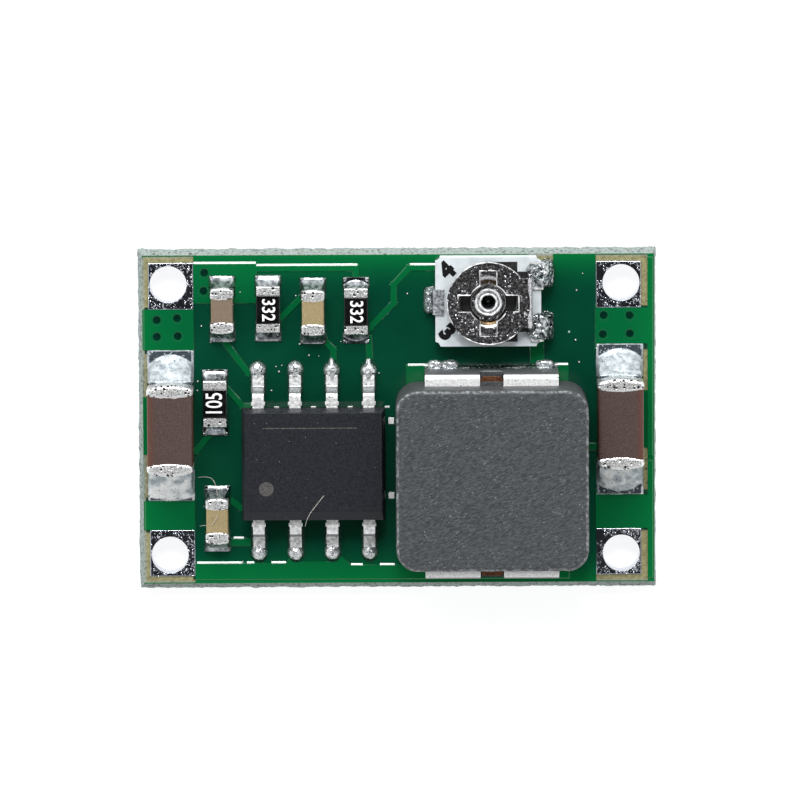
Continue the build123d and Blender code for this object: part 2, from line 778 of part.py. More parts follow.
# Trimmer end terminals: clips folded over the edge of the ceramic
for clip_name, side in (("upper", 1), ("lower", -1)):
    with BuildPart() as clip:
        with BuildSketch(end_plane(trimmer_x, trimmer_y + side * clip_offset)):
            with BuildLine():
                clip_face = base_length / 2 + clip_thickness / 2
                route = (
                    (base_length / 2 - clip_finger, base_top + clip_thickness / 2),
                    (clip_face, base_top + clip_thickness / 2),
                    (clip_face, seat + clip_thickness / 2),
                    (base_length / 2 - clip_foot, seat + clip_thickness / 2),
                )
                Polyline(*bend(route, clip_bend))
            trace(line_width=clip_thickness)
        extrude(amount=clip_width / 2, both=True)
    write(clip.part, "trimmer_terminal_" + clip_name)

# Trimmer collector: a strip under the ceramic, folded over its left edge, with the eyelet drawn up from it
with BuildPart() as trimmer_collector:
    with BuildSketch(trimmer_side):
        with BuildLine():
            tab_face = -(base_length / 2 + clip_thickness / 2)
            route = (
                (eyelet_flange, seat + clip_thickness / 2),
                (tab_face, seat + clip_thickness / 2),
                (tab_face, base_top + clip_thickness / 2),
                (-(base_length / 2 - tab_finger), base_top + clip_thickness / 2),
            )
            Polyline(*bend(route, clip_bend))
        trace(line_width=clip_thickness)
    extrude(amount=tab_width / 2, both=True)
    flange_low = hub_low + sheet + flange_gap
    with BuildSketch(level(trimmer_x, trimmer_y, seat)):
        Circle(eyelet_radius)
    extrude(amount=flange_low - seat)
    with BuildSketch(level(trimmer_x, trimmer_y, flange_low)):
        Circle(eyelet_flange)
    extrude(amount=eyelet_flange_thickness)
    chamfer(trimmer_collector.edges().group_by(Axis.Z)[-1], eyelet_edge)
    with Locations((trimmer_x, trimmer_y)):
        Hole(radius=eyelet_bore)
write(trimmer_collector.part, "trimmer_collector")

# Trimmer rotor: one stamped sheet, folded under itself, with the cross slot above and the wiper spring below
with BuildPart() as trimmer_rotor:
    with BuildSketch(level(trimmer_x, trimmer_y, rotor_low)):
        Circle(rotor_radius)
        with Locations((fold_start / 2, 0)):
            Rectangle(fold_start, fold_width)
        Circle(rotor_opening, mode=Mode.SUBTRACT)
        Rectangle(drive_slot_x, drive_slot_width, mode=Mode.SUBTRACT)
        Rectangle(drive_slot_width, drive_slot_y, mode=Mode.SUBTRACT)
    extrude(amount=sheet)
    # The spring below is a ring, joined to its low hub by two sloping bridges
    with BuildSketch(trimmer_side):
        with BuildLine():
            Polyline(
                (eyelet_radius + turn_clearance, hub_low + sheet / 2),
                (hub_radius, hub_low + sheet / 2),
                (window_radius, spring_low + sheet / 2),
                (spring_radius, spring_low + sheet / 2),
            )
        trace(line_width=sheet)
    revolve(axis=Axis((trimmer_x, trimmer_y, 0), (0, 0, 1)))
    with BuildSketch(level(trimmer_x, trimmer_y, spring_low)):
        with Locations((fold_start / 2, 0)):
            Rectangle(fold_start, fold_width)
        Circle(window_radius, mode=Mode.SUBTRACT)
    extrude(amount=sheet)
    with BuildSketch(level(trimmer_x, trimmer_y, hub_low)):
        Circle(window_radius)
        Circle(hub_radius, mode=Mode.SUBTRACT)
        Rectangle(bridge_width, 2 * window_radius, mode=Mode.SUBTRACT)
    extrude(amount=spring_high - hub_low, mode=Mode.SUBTRACT)
    with BuildSketch(trimmer_side):
        with Locations((fold_start, (spring_low + rotor_top) / 2)):
            Circle((rotor_top - spring_low) / 2)
            Circle(rotor_gap / 2, mode=Mode.SUBTRACT)
        with Locations((fold_start - rotor_radius / 2, (spring_low + rotor_top) / 2)):
            Rectangle(rotor_radius, 2 * rotor_radius, mode=Mode.SUBTRACT)
    extrude(amount=fold_width / 2, both=True)
    contact_low = base_top + film_thickness + contact_gap
    with BuildSketch(level(trimmer_x - contact_reach, trimmer_y, contact_low)):
        Circle(contact_radius)
    with BuildSketch(level(trimmer_x - contact_reach, trimmer_y, spring_low)):
        Circle(contact_root)
    loft()
write(trimmer_rotor.part, "trimmer_rotor")

# Trimmer solder at its three pads
with BuildPart() as trimmer_solder:
    clip_outer = base_length / 2 + clip_thickness
    for side, offset, width in ((-1, 0, tab_width), (1, clip_offset, clip_width), (1, -clip_offset, clip_width)):
        with BuildSketch(end_plane(trimmer_x, trimmer_y + offset)):
            with BuildLine():
                toe = side * (base_length / 2 + trimmer_pad_reach)
                heel = side * (base_length / 2 - trimmer_pad_under)
                face = side * clip_outer
                Polyline((toe, seat), (toe, copper_top), (heel, copper_top), (heel, seat), (face, seat),
                         (face, seat + base_thickness))
                ThreePointArc(
                    (face, seat + base_thickness),
                    (face + (toe - face) * trimmer_bulge, seat + base_thickness * trimmer_bulge),
                    (toe, seat),
                )
            make_face()
        extrude(amount=width / 2, both=True)
write(trimmer_solder.part, "trimmer_solder")
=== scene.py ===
"""Looks of the buck converter module: finishes, soldered joints, torn edges and the studio, in metres."""

import json
import logging
import math
import random
from collections.abc import Callable, Iterable
from dataclasses import dataclass, field
from enum import Enum

import bmesh
import bpy
from mathutils import Matrix, Vector, noise


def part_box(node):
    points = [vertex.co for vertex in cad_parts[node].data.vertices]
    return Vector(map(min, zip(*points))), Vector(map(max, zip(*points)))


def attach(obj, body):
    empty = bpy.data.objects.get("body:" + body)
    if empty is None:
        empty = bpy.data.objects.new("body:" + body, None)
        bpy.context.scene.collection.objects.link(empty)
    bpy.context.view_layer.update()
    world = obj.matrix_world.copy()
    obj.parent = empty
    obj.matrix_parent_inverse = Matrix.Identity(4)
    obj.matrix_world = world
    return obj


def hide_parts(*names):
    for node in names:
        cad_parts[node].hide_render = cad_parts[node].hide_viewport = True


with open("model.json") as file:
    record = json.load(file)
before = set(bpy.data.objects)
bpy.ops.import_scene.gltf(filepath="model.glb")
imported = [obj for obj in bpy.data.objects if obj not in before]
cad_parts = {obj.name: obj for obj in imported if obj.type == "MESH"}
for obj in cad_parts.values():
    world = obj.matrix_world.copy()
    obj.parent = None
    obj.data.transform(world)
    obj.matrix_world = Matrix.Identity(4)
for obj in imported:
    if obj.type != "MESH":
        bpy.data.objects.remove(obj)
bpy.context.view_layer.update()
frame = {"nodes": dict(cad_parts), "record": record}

MM = 0.001
COPPER = 0.035 * MM
Colour = tuple[float, float, float]
Point = tuple[float, float, float]
Plan = Callable[[float, float], Vector]
Rise = Callable[[float, float], float]
Socket = bpy.types.NodeSocket
log = logging.getLogger("module")


class Body(Enum):
    """The rigid bodies of the frame."""

    BOARD = "board"
    ROTOR = "rotor"


class Side(Enum):
    """The two long sides of the board, as signs of Y."""

    FRONT = -1
    REAR = 1

    def pick(self, low: Vector, high: Vector) -> float:
        """The Y of a box's face on this side, from the box's two corners."""
        return high.y if self is Side.REAR else low.y


class Group(Enum):
    """The shared shader effects."""

    GRAIN = "grain"
    SPECKS = "specks"


def srgb(red: int, green: int, blue: int) -> Colour:
    """Turns a display colour into a linear one.

    Args:
        red: Red, 0 to 255.
        green: Green, 0 to 255.
        blue: Blue, 0 to 255.

    Returns:
        The linear colour.
    """
    return tuple(
        v / 12.92 if v <= 0.04045 else ((v + 0.055) / 1.055) ** 2.4
        for v in (red / 255, green / 255, blue / 255)
    )


class Canvas:
    """Adds and links nodes in one shader tree."""

    def __init__(self, tree: bpy.types.NodeTree) -> None:
        """Keeps the tree."""
        self.tree = tree

    def add(self, kind: str, inputs: dict | None = None, **settings: object) -> bpy.types.Node:
        """Adds a node.

        Args:
            kind: The node's type name.
            inputs: Values or sockets for its inputs, by name or index.
            **settings: The node's own properties.

        Returns:
            The new node.
        """
        node = self.tree.nodes.new(kind)
        for key, value in settings.items():
            setattr(node, key, value)
        for key, value in (inputs or {}).items():
            self.feed(node.inputs[key], value)
        return node

    def feed(self, socket: Socket, value: object) -> None:
        """Links a socket into another, or sets its value.

        Args:
            socket: The input.
            value: A socket to link from, or a value.
        """
        if isinstance(value, Socket):
            self.tree.links.new(value, socket)
        elif socket.type == "RGBA" and len(value) == 3:
            socket.default_value = (*value, 1.0)
        else:
            socket.default_value = value

    def effect(self, group: Group, size: float, **inputs: object) -> Socket:
        """Places a shared effect.

        Args:
            group: Which effect.
            size: Size of its pattern, in millimetres.
            **inputs: Its other inputs.

        Returns:
            The effect's output.
        """
        values = {"Scale": 1 / (size * MM), **inputs}
        return self.add("ShaderNodeGroup", values, node_tree=bpy.data.node_groups[group.value]).outputs[0]

    def split(self, output: str) -> bpy.types.bpy_prop_collection:
        """One output of the texture coordinates, split into X, Y and Z."""
        whole = self.add("ShaderNodeTexCoord").outputs[output]
        return self.add("ShaderNodeSeparateXYZ", {0: whole}).outputs

    def mix(self, factor: object, first: object, second: object) -> Socket:
        """Mixes two colours.

        Args:
            factor: Share of the second colour.
            first: A colour or socket.
            second: A colour or socket.

        Returns:
            The mixed colour.
        """
        node = self.add("ShaderNodeMix", data_type="RGBA")
        for index, value in ((0, factor), (6, first), (7, second)):
            self.feed(node.inputs[index], value)
        return node.outputs[2]

    def math(self, operation: str, first: object, second: object = 0.0) -> Socket:
        """Adds a math node and returns its output."""
        return self.add("ShaderNodeMath", {0: first, 1: second}, operation=operation).outputs[0]

    def product(self, first: object, second: object) -> Socket:
        """One value times another."""
        return self.math("MULTIPLY", first, second)

    def difference(self, first: object, second: object) -> Socket:
        """One value less another."""
        return self.math("SUBTRACT", first, second)

    def larger(self, first: object, second: object) -> Socket:
        """The larger of two values."""
        return self.math("MAXIMUM", first, second)

    def ramp(
        self, value: object, low: object, high: object, to_low: float = 0.0, to_high: float = 1.0,
    ) -> Socket:
        """Maps a value from one range to another, clamped.

        Args:
            value: The value's socket.
            low: Where the range starts.
            high: Where it ends.
            to_low: Result at the start.
            to_high: Result at the end.

        Returns:
            The mapped value.
        """
        inputs = {"Value": value, "From Min": low, "From Max": high, "To Min": to_low, "To Max": to_high}
        return self.add("ShaderNodeMapRange", inputs, clamp=True).outputs["Result"]


class Effects:
    """Builds the shared shader effects once."""

    speck_core: float = 0.4

    def build(self) -> None:
        """Builds both groups."""
        self.grain()
        self.specks()

    def start(
        self, group: Group, inputs: dict[str, float], output: str,
    ) -> tuple[Canvas, dict[str, Socket], Socket]:
        """Starts a group.

        Args:
            group: Which one.
            inputs: Names of the value inputs, with their defaults.
            output: Name of the value it puts out.

        Returns:
            The canvas, the group's inputs with its stretched coordinates as Place, and its output.
        """
        tree = bpy.data.node_groups.new(group.value, "ShaderNodeTree")
        for name, default in (*inputs.items(), ("Slant", 0.0)):
            socket = tree.interface.new_socket(name, in_out="INPUT", socket_type="NodeSocketFloat")
            socket.default_value = default
        stretch = tree.interface.new_socket("Stretch", in_out="INPUT", socket_type="NodeSocketVector")
        stretch.default_value = (1.0, 1.0, 1.0)
        tree.interface.new_socket(output, in_out="OUTPUT", socket_type="NodeSocketFloat")
        canvas = Canvas(tree)
        given = canvas.add("NodeGroupInput").outputs
        place = canvas.add("ShaderNodeTexCoord").outputs["Object"]
        turned = canvas.add("ShaderNodeVectorRotate", {"Vector": place, "Angle": given["Slant"]})
        scaled = {0: turned.outputs[0], 1: given["Stretch"]}
        stretched = canvas.add("ShaderNodeVectorMath", scaled, operation="MULTIPLY").outputs[0]
        values = {name: given[name] for name in inputs}
        return canvas, {**values, "Place": stretched}, canvas.add("NodeGroupOutput").inputs[0]

    def grain(self) -> None:
        """Soft mottling from fractal noise, spread between two levels."""
        inputs = {"Scale": 1000.0, "Detail": 3.0, "Low": 0.35, "High": 0.65}
        canvas, given, sink = self.start(Group.GRAIN, inputs, "Value")
        pattern = {"Vector": given["Place"], "Scale": given["Scale"], "Detail": given["Detail"]}
        cloud = canvas.add("ShaderNodeTexNoise", pattern).outputs["Fac"]
        canvas.feed(sink, canvas.ramp(cloud, given["Low"], given["High"]))

    def specks(self) -> None:
        """Round specks of uneven size, in a share of the cells."""
        canvas, given, sink = self.start(Group.SPECKS, {"Scale": 1000.0, "Share": 0.2, "Radius": 0.3}, "Mask")
        pattern = {"Vector": given["Place"], "Scale": given["Scale"]}
        cells = canvas.add("ShaderNodeTexVoronoi", pattern).outputs
        draw = canvas.add("ShaderNodeSeparateColor", {"Color": cells["Color"]}).outputs
        chosen = canvas.math("LESS_THAN", draw["Red"], given["Share"])
        reach = canvas.product(draw["Green"], given["Radius"])
        core = canvas.product(reach, self.speck_core)
        span = {"Value": cells["Distance"], "From Min": reach, "From Max": core}
        inside = canvas.add("ShaderNodeMapRange", span, interpolation_type="SMOOTHSTEP")
        canvas.feed(sink, canvas.product(chosen, inside.outputs["Result"]))


@dataclass(frozen=True)
class Outline:
    """The board's cut outline, within its torn edges, in millimetres."""

    half_length: float = 8.82
    half_width: float = 5.7
    shift: float = 0.12

    def distances(self, canvas: Canvas, place: bpy.types.bpy_prop_collection) -> tuple[Socket, Socket]:
        """Distances of the split place from the board's middle, along it and across it."""
        along = canvas.math("ABSOLUTE", canvas.difference(place["X"], self.shift * MM))
        return along, canvas.math("ABSOLUTE", place["Y"])

    def beyond(self, point: Vector) -> float:
        """How far a point lies outside the outline, in metres."""
        along = abs(point.x - self.shift * MM) - self.half_length * MM
        return max(along, abs(point.y) - self.half_width * MM)


OUTLINE = Outline()


@dataclass(frozen=True)
class Specks:
    """Specks on a finish: their colour, and how much of the finish's relief they add or take away."""

    colour: Colour = (0.8, 0.8, 0.8)
    size: float = 0.1
    share: float = 0.0
    radius: float = 0.5
    relief: float = 0.0


@dataclass(frozen=True)
class Finish:
    """A surface with mottled colour and gloss, specks, and a relief's depth and size, in millimetres."""

    name: str
    dark: Colour
    light: Colour
    roughness: tuple[float, float] = (0.3, 0.5)
    metallic: float = 0.0
    specular: float = 0.5
    grain: float = 0.1
    stretch: Point = (1.0, 1.0, 1.0)
    relief: tuple[float, float] = (0.01, 0.08)
    specks: Specks = Specks()
    cluster: float = 0.0
    slant: float = 0.0

    def colour(self, canvas: Canvas, mottle: Socket) -> Socket:
        """The base colour before the specks, as a socket."""
        return canvas.mix(mottle, self.dark, self.light)

    def build(self) -> bpy.types.Material:
        """Builds the material.

        Returns:
            The new material.
        """
        material = bpy.data.materials.new(self.name)
        material.use_nodes = True
        material.node_tree.nodes.clear()
        canvas = Canvas(material.node_tree)
        drawn = {"Stretch": self.stretch, "Slant": math.radians(self.slant)}
        mottle = canvas.effect(Group.GRAIN, self.grain, **drawn)
        plan = self.specks
        specks = canvas.effect(Group.SPECKS, plan.size, Share=plan.share, Radius=plan.radius, **drawn)
        if self.cluster:
            specks = canvas.product(specks, canvas.effect(Group.GRAIN, self.cluster, Low=0.42, High=0.58))
        depth, size = self.relief
        bumps = canvas.effect(Group.GRAIN, size, Low=0.0, High=1.0, Stretch=self.stretch)
        height = canvas.math("ADD", bumps, canvas.product(specks, plan.relief))
        bump = canvas.add("ShaderNodeBump", {"Height": height, "Strength": 1.0, "Distance": depth * MM})
        surface = {
            "Base Color": canvas.mix(specks, self.colour(canvas, mottle), plan.colour),
            "Roughness": canvas.ramp(mottle, 0.0, 1.0, *self.roughness),
            "Metallic": self.metallic,
            "Specular IOR Level": self.specular,
            "Normal": bump.outputs["Normal"],
        }
        shader = canvas.add("ShaderNodeBsdfPrincipled", surface)
        canvas.add("ShaderNodeOutputMaterial", {"Surface": shader.outputs["BSDF"]})
        return material


@dataclass(frozen=True)
class MaskFinish(Finish):
    """Green solder mask, lighter where it lies over copper, with painted light along the board's torn edge.
    """

    over_copper: Colour = srgb(3, 92, 50)
    # painted light: the mask is drawn lighter towards the board's edge, where light leaks in through the
    # laminate
    edge_glow: Colour = srgb(4, 104, 52)
    copper_level: float = 0.79
    bare_level: float = 0.77
    glow: float = 1.5
    glow_power: float = 2.2
    pour_margin: float = 0.3
    blur: float = 0.03
    cleared: tuple[float, float] = (9.0, -9.0)

    def poured(
        self, canvas: Canvas, place: bpy.types.bpy_prop_collection, along: Socket, across: Socket,
    ) -> Socket:
        """Mask of the copper pour on the underside.

        Args:
            canvas: Where the nodes go.
            place: The split place.
            along: Distance from the board's middle in X.
            across: Distance from its middle in Y.

        Returns:
            1 over the pour, 0 at the board's edge, round the front lands and on the upper face.
        """

        def border(value: Socket, level: float, before: float, after: float) -> Socket:
            """Goes from one value to another at a level in millimetres."""
            return canvas.ramp(value, (level - self.blur) * MM, (level + self.blur) * MM, before, after)

        below = canvas.ramp(place["Z"], 0.02 * MM, 0.05 * MM, 1.0, 0.0)
        inside = canvas.product(
            border(along, OUTLINE.half_length - self.pour_margin, 1.0, 0.0),
            border(across, OUTLINE.half_width - self.pour_margin, 1.0, 0.0),
        )
        clear_x, clear_y = self.cleared
        cleared = canvas.product(border(along, clear_x, 0.0, 1.0), border(place["Y"], clear_y, 1.0, 0.0))
        return canvas.product(below, canvas.product(inside, canvas.difference(1.0, cleared)))

    def colour(self, canvas: Canvas, mottle: Socket) -> Socket:
        """Mixes the colour by height over the board, and paints light in by distance from its edge."""
        place = canvas.split("Object")
        along, across = OUTLINE.distances(canvas, place)
        raised = canvas.ramp(place["Z"], self.bare_level * MM, self.copper_level * MM)
        raised = canvas.larger(raised, self.poured(canvas, place, along, across))
        # painted light: how much lighter the mask is drawn near the board's edge
        edge = canvas.larger(*(
            canvas.ramp(reach, (half - self.glow) * MM, half * MM)
            for reach, half in ((along, OUTLINE.half_length), (across, OUTLINE.half_width))
        ))
        covered = canvas.mix(raised, super().colour(canvas, mottle), self.over_copper)
        return canvas.mix(canvas.math("POWER", edge, self.glow_power), covered, self.edge_glow)


@dataclass(frozen=True)
class LaminateFinish(Finish):
    """Olive glass-fibre board inside the outline, and pale torn fibres beyond it."""

    torn: Colour = srgb(146, 158, 154)
    torn_shadow: Colour = srgb(98, 106, 102)
    fibre: float = 0.05

    def colour(self, canvas: Canvas, mottle: Socket) -> Socket:
        """Mixes the torn colour in where a point lies outside the outline."""
        along, across = OUTLINE.distances(canvas, canvas.split("Object"))
        beyond = canvas.larger(
            canvas.difference(along, OUTLINE.half_length * MM),
            canvas.difference(across, OUTLINE.half_width * MM),
        )
        outside = canvas.ramp(beyond, -0.12 * MM, 0.02 * MM)
        strands = canvas.effect(Group.GRAIN, self.fibre, Low=0.34, High=0.5, Stretch=(0.5, 0.5, 0.7))
        torn = canvas.mix(strands, self.torn_shadow, self.torn)
        return canvas.mix(outside, super().colour(canvas, mottle), torn)


@dataclass(frozen=True)
class FiredFinish(Finish):
    """Fired ceramic whose upright sides are redder than its top."""

    side: Colour = srgb(140, 66, 32)
    outer: tuple[float, float] = (90.0, 91.0)

    def colour(self, canvas: Canvas, mottle: Socket) -> Socket:
        """Mixes the side's colour in where the surface stands upright or lies near the board's end."""
        along = canvas.math("ABSOLUTE", canvas.split("Object")["X"])
        near_end = canvas.ramp(along, *(reach * MM for reach in self.outer))
        upright = canvas.ramp(canvas.split("Normal")["Z"], 0.8, 0.2)
        return canvas.mix(canvas.larger(upright, near_end), super().colour(canvas, mottle), self.side)


@dataclass(frozen=True)
class PoolFinish(Finish):
    """Solder with a painted dark reflection where it lies flat and a painted pale sheen where it slopes to
    the front.
    """

    # painted reflection: level solder is drawn dark, as the reflection of the dark patch above it
    flat: Colour = srgb(70, 86, 112)
    flat_from: float = 0.975
    flat_to: float = 0.997
    frost: float = 0.6
    frost_size: float = 0.07
    # painted light: the paler sheen drawn on solder that slopes to the front, and how much of it shows
    front_sheen_dark: Colour = srgb(166, 177, 184)
    front_sheen_light: Colour = srgb(254, 255, 255)
    front_sheen_share: float = 0.0
    cloud_size: float = 0.4

    def colour(self, canvas: Canvas, mottle: Socket) -> Socket:
        """Paints a dark reflection in where the surface faces up, broken by frost specks, and a pale sheen
        where it faces forwards.
        """
        facing = canvas.split("Normal")
        lying = canvas.ramp(facing["Z"], self.flat_from, self.flat_to)
        frost = canvas.effect(Group.SPECKS, self.frost_size, Share=self.frost, Radius=0.7)
        clouds = canvas.effect(Group.GRAIN, self.cloud_size, Low=0.4, High=0.6)
        # painted sheen on slopes that face the front
        front_sheen = canvas.mix(clouds, self.front_sheen_dark, self.front_sheen_light)
        front_sheen_mask = canvas.ramp(facing["Y"], 0.0, -0.4, 0.0, self.front_sheen_share)
        slope = canvas.mix(front_sheen_mask, super().colour(canvas, mottle), front_sheen)
        # painted dark reflection on level solder, broken by frost specks
        return canvas.mix(lying, slope, canvas.mix(frost, self.flat, self.light))


@dataclass(frozen=True)
class FoldedFinish(Finish):
    """Tinned sheet with painted shade where it turns away from level: duller on slopes and upright faces."""

    # painted shade: the duller colour of sloped and upright tin
    turned: Colour = srgb(124, 128, 130)
    turned_from: float = 0.74
    turned_to: float = 0.95

    def colour(self, canvas: Canvas, mottle: Socket) -> Socket:
        """Mixes the painted shade's duller colour in where the surface slopes or stands upright."""
        lying = canvas.ramp(canvas.split("Normal")["Z"], self.turned_from, self.turned_to)
        return canvas.mix(lying, self.turned, super().colour(canvas, mottle))


@dataclass(frozen=True)
class SpringFinish(Finish):
    """Steel that turns straw-coloured towards the sheet's lower layer."""

    straw: Colour = srgb(62, 50, 34)
    band: tuple[float, float, float, float] = (1.63, 1.67, 1.73, 1.77)

    def colour(self, canvas: Canvas, mottle: Socket) -> Socket:
        """Mixes the straw colour in by height."""
        height = canvas.split("Object")["Z"]
        start, full, fading, end = [level * MM for level in self.band]
        depth = canvas.product(canvas.ramp(height, start, full), canvas.ramp(height, fading, end, 1.0, 0.0))
        return canvas.mix(depth, super().colour(canvas, mottle), self.straw)


@dataclass(frozen=True)
class RimHighlightFinish(Finish):
    """A pressed surface with a painted highlight on its bevelled edges and painted glints."""

    # painted highlight: the lighter colour on the bevelled rims
    rim_highlight: Colour = srgb(140, 144, 146)

    def colour(self, canvas: Canvas, mottle: Socket) -> Socket:
        """Mixes the painted highlight in, in patches, where the surface slopes, and as scattered glints."""
        facing = canvas.split("Normal")["Z"]
        sloped = canvas.product(canvas.ramp(facing, 0.97, 0.86), canvas.ramp(facing, 0.35, 0.6))
        patches = canvas.effect(Group.GRAIN, 0.14, Low=0.42, High=0.66)
        glints = canvas.effect(Group.SPECKS, 0.09, Share=0.06, Radius=0.34)
        # painted highlight on the slopes in patches, and painted glints
        highlighted = canvas.larger(canvas.product(sloped, patches), glints)
        return canvas.mix(highlighted, super().colour(canvas, mottle), self.rim_highlight)


class Finishes:
    """Every finish of the module, built once and looked up by name."""

    clearing: float = 0.25

    def __init__(self) -> None:
        """Builds the effects and the materials."""
        Effects().build()
        silver = srgb(235, 235, 238)
        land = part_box("plated_hole_front_left")[1] / MM
        plans = (
            MaskFinish(
                "solder_mask", srgb(2, 60, 42), srgb(3, 66, 45), (0.08, 0.14), grain=1.5,
                relief=(0.003, 0.5), specks=Specks(srgb(170, 205, 188), 0.5, 0.05, 0.1, 0.8),
                cleared=(-land.x - self.clearing, land.y + self.clearing),
            ),
            MaskFinish(
                "via_mask", srgb(0, 34, 24), srgb(2, 42, 30), (0.1, 0.16), relief=(0.002, 0.08),
                bare_level=0.8005, copper_level=0.804, glow=0.001, pour_margin=9.0,
            ),
            LaminateFinish(
                "laminate", srgb(120, 114, 76), srgb(150, 146, 104), (0.6, 0.8), relief=(0.03, 0.05),
                specks=Specks(srgb(58, 56, 50), 0.16, 0.22, 0.5), cluster=1.2,
            ),
            Finish(
                "covered_copper", srgb(4, 48, 33), srgb(8, 60, 40), (0.2, 0.35), grain=0.12,
                relief=(0.004, 0.1),
            ),
            # painted highlight: the glint on the mask's slope at copper edges, drawn near white
            Finish(
                "mask_glint", srgb(206, 220, 214), srgb(250, 252, 251), (0.2, 0.35), grain=0.16,
                relief=(0.004, 0.1),
            ),
            Finish(
                "land_tin", srgb(176, 184, 200), srgb(206, 212, 224), (0.04, 0.12), 1.0, grain=0.25,
                relief=(0.0015, 0.3), specks=Specks(silver, 0.048, 0.8, 0.75, 9.0), cluster=0.4,
            ),
            # the turned colour of each tin is painted shade on its slopes and upright faces
            FoldedFinish(
                "lead_tin", srgb(206, 208, 209), srgb(252, 252, 252), (0.32, 0.48), 0.45, grain=0.11,
                relief=(0.014, 0.09), specks=Specks(srgb(110, 108, 106), 0.09, 0.14, 0.6, -0.6),
            ),
            FoldedFinish(
                "bright_tin", srgb(222, 223, 223), srgb(250, 250, 250), (0.36, 0.5), 0.4, grain=0.08,
                relief=(0.012, 0.07), specks=Specks(srgb(150, 150, 150), 0.09, 0.1, 0.6, -0.6),
                turned=srgb(98, 102, 104), turned_from=0.3, turned_to=0.65,
            ),
            Finish(
                "eyelet_tin", srgb(120, 124, 130), srgb(196, 200, 204), (0.3, 0.5), 0.75, grain=0.1,
                relief=(0.01, 0.08), specks=Specks(srgb(236, 238, 240), 0.06, 0.2, 0.5),
            ),
            Finish(
                "cap_tin", srgb(216, 218, 218), srgb(250, 250, 250), (0.22, 0.4), 0.85, grain=0.05,
                relief=(0.02, 0.085), specks=Specks(srgb(38, 36, 34), 0.115, 0.7, 0.74, -0.9),
            ),
            # painted reflection: the flat colour is the dark reflection on level solder
            PoolFinish(
                "solder", srgb(112, 118, 122), srgb(206, 210, 214), (0.18, 0.34), 1.0, grain=0.16,
                stretch=(1.0, 0.35, 1.0), relief=(0.005, 0.14), specks=Specks(silver, 0.08, 0.1, 0.5, 0.8),
                flat=srgb(84, 92, 98), frost=0.2,
            ),
            # painted reflection and light: dark on level solder, and a pale sheen painted on slopes facing
            # the front
            PoolFinish(
                "solder_dull", srgb(138, 148, 153), srgb(196, 203, 207), (0.3, 0.48), 0.34, grain=0.2,
                relief=(0.016, 0.1), specks=Specks(srgb(84, 98, 108), 0.08, 0.55, 0.62, -0.5), cluster=0.5,
                flat=srgb(58, 68, 76), front_sheen_share=0.85,
            ),
            Finish(
                "solder_lumpy", srgb(176, 182, 186), srgb(240, 242, 242), (0.18, 0.36), 0.85, grain=0.08,
                relief=(0.018, 0.075), specks=Specks(srgb(70, 72, 74), 0.085, 0.34, 0.6, -0.8),
            ),
            Finish(
                "solder_heap", srgb(84, 92, 96), srgb(220, 225, 226), (0.06, 0.22), 1.0, grain=0.13,
                relief=(0.05, 0.15), specks=Specks(srgb(34, 38, 40), 0.12, 0.34, 0.6, -0.5),
            ),
            Finish(
                "cut_copper", srgb(74, 46, 30), srgb(128, 84, 56), (0.35, 0.5), 0.7, grain=0.06,
                relief=(0.006, 0.08),
            ),
            Finish(
                "mould_compound", srgb(22, 24, 29), srgb(32, 34, 41), (0.42, 0.56), specular=0.25,
                grain=0.07, relief=(0.005, 0.035), specks=Specks(srgb(120, 122, 130), 0.07, 0.04, 0.35),
            ),
            # the core's lighter bevel rims and glints are painted highlights
            RimHighlightFinish(
                "powder_core", srgb(50, 53, 55), srgb(76, 79, 81), (0.42, 0.62), specular=0.3, grain=0.042,
                stretch=(0.3, 1.0, 1.0), relief=(0.009, 0.04),
                specks=Specks(srgb(108, 112, 114), 0.034, 0.5, 0.6, 0.4), cluster=0.5, slant=-24.0,
            ),
            Finish(
                "alumina", srgb(190, 198, 202), srgb(208, 215, 218), (0.5, 0.7), grain=0.4,
                relief=(0.003, 0.05),
            ),
            Finish(
                "resistive_film", srgb(16, 16, 18), srgb(28, 27, 29), (0.4, 0.6), grain=0.1,
                relief=(0.004, 0.08),
            ),
            SpringFinish(
                "trimmer_steel", srgb(168, 166, 172), silver, (0.12, 0.24), 1.0, grain=0.08,
                relief=(0.004, 0.12), specks=Specks(silver, 0.055, 0.3, 0.75, 6.0), cluster=0.35,
            ),
            FiredFinish(
                "small_capacitor_ceramic", srgb(108, 92, 76), srgb(128, 112, 94), (0.45, 0.6), grain=0.04,
                relief=(0.004, 0.04), side=srgb(96, 78, 60),
            ),
            Finish(
                "tan_ceramic", srgb(138, 122, 86), srgb(160, 144, 106), (0.45, 0.6), grain=0.04,
                relief=(0.004, 0.04),
            ),
            FiredFinish(
                "large_capacitor_ceramic", srgb(62, 47, 44), srgb(78, 60, 56), (0.4, 0.55), grain=0.05,
                relief=(0.004, 0.04), specks=Specks(srgb(112, 92, 86), 0.06, 0.14, 0.4), outer=(8.25, 8.5),
                side=srgb(86, 46, 28),
            ),
            Finish(
                "overcoat", srgb(6, 6, 8), srgb(16, 16, 18), (0.1, 0.22), grain=0.3, relief=(0.003, 0.3),
            ),
            Finish(
                "ink_white", srgb(246, 248, 247), srgb(254, 255, 255), (0.5, 0.7), grain=0.05,
                relief=(0.006, 0.08),
            ),
            Finish(
                "ink_black", srgb(8, 8, 10), srgb(20, 20, 22), (0.5, 0.7), specular=0.15, grain=0.05,
                relief=(0.004, 0.08),
            ),
            Finish(
                "marking", srgb(52, 52, 54), srgb(96, 94, 92), (0.5, 0.7), specular=0.2, grain=0.05,
                relief=(0.006, 0.03),
            ),
            Finish("fibre", srgb(150, 146, 140), srgb(200, 196, 190), (0.5, 0.7), grain=0.05),
        )
        self.materials = {plan.name: plan.build() for plan in plans}

    def __getitem__(self, name: str) -> bpy.types.Material:
        """The material of that name."""
        return self.materials[name]


def link(thing: bpy.types.Object) -> bpy.types.Object:
    """Puts an object into the scene."""
    bpy.context.scene.collection.objects.link(thing)
    return thing


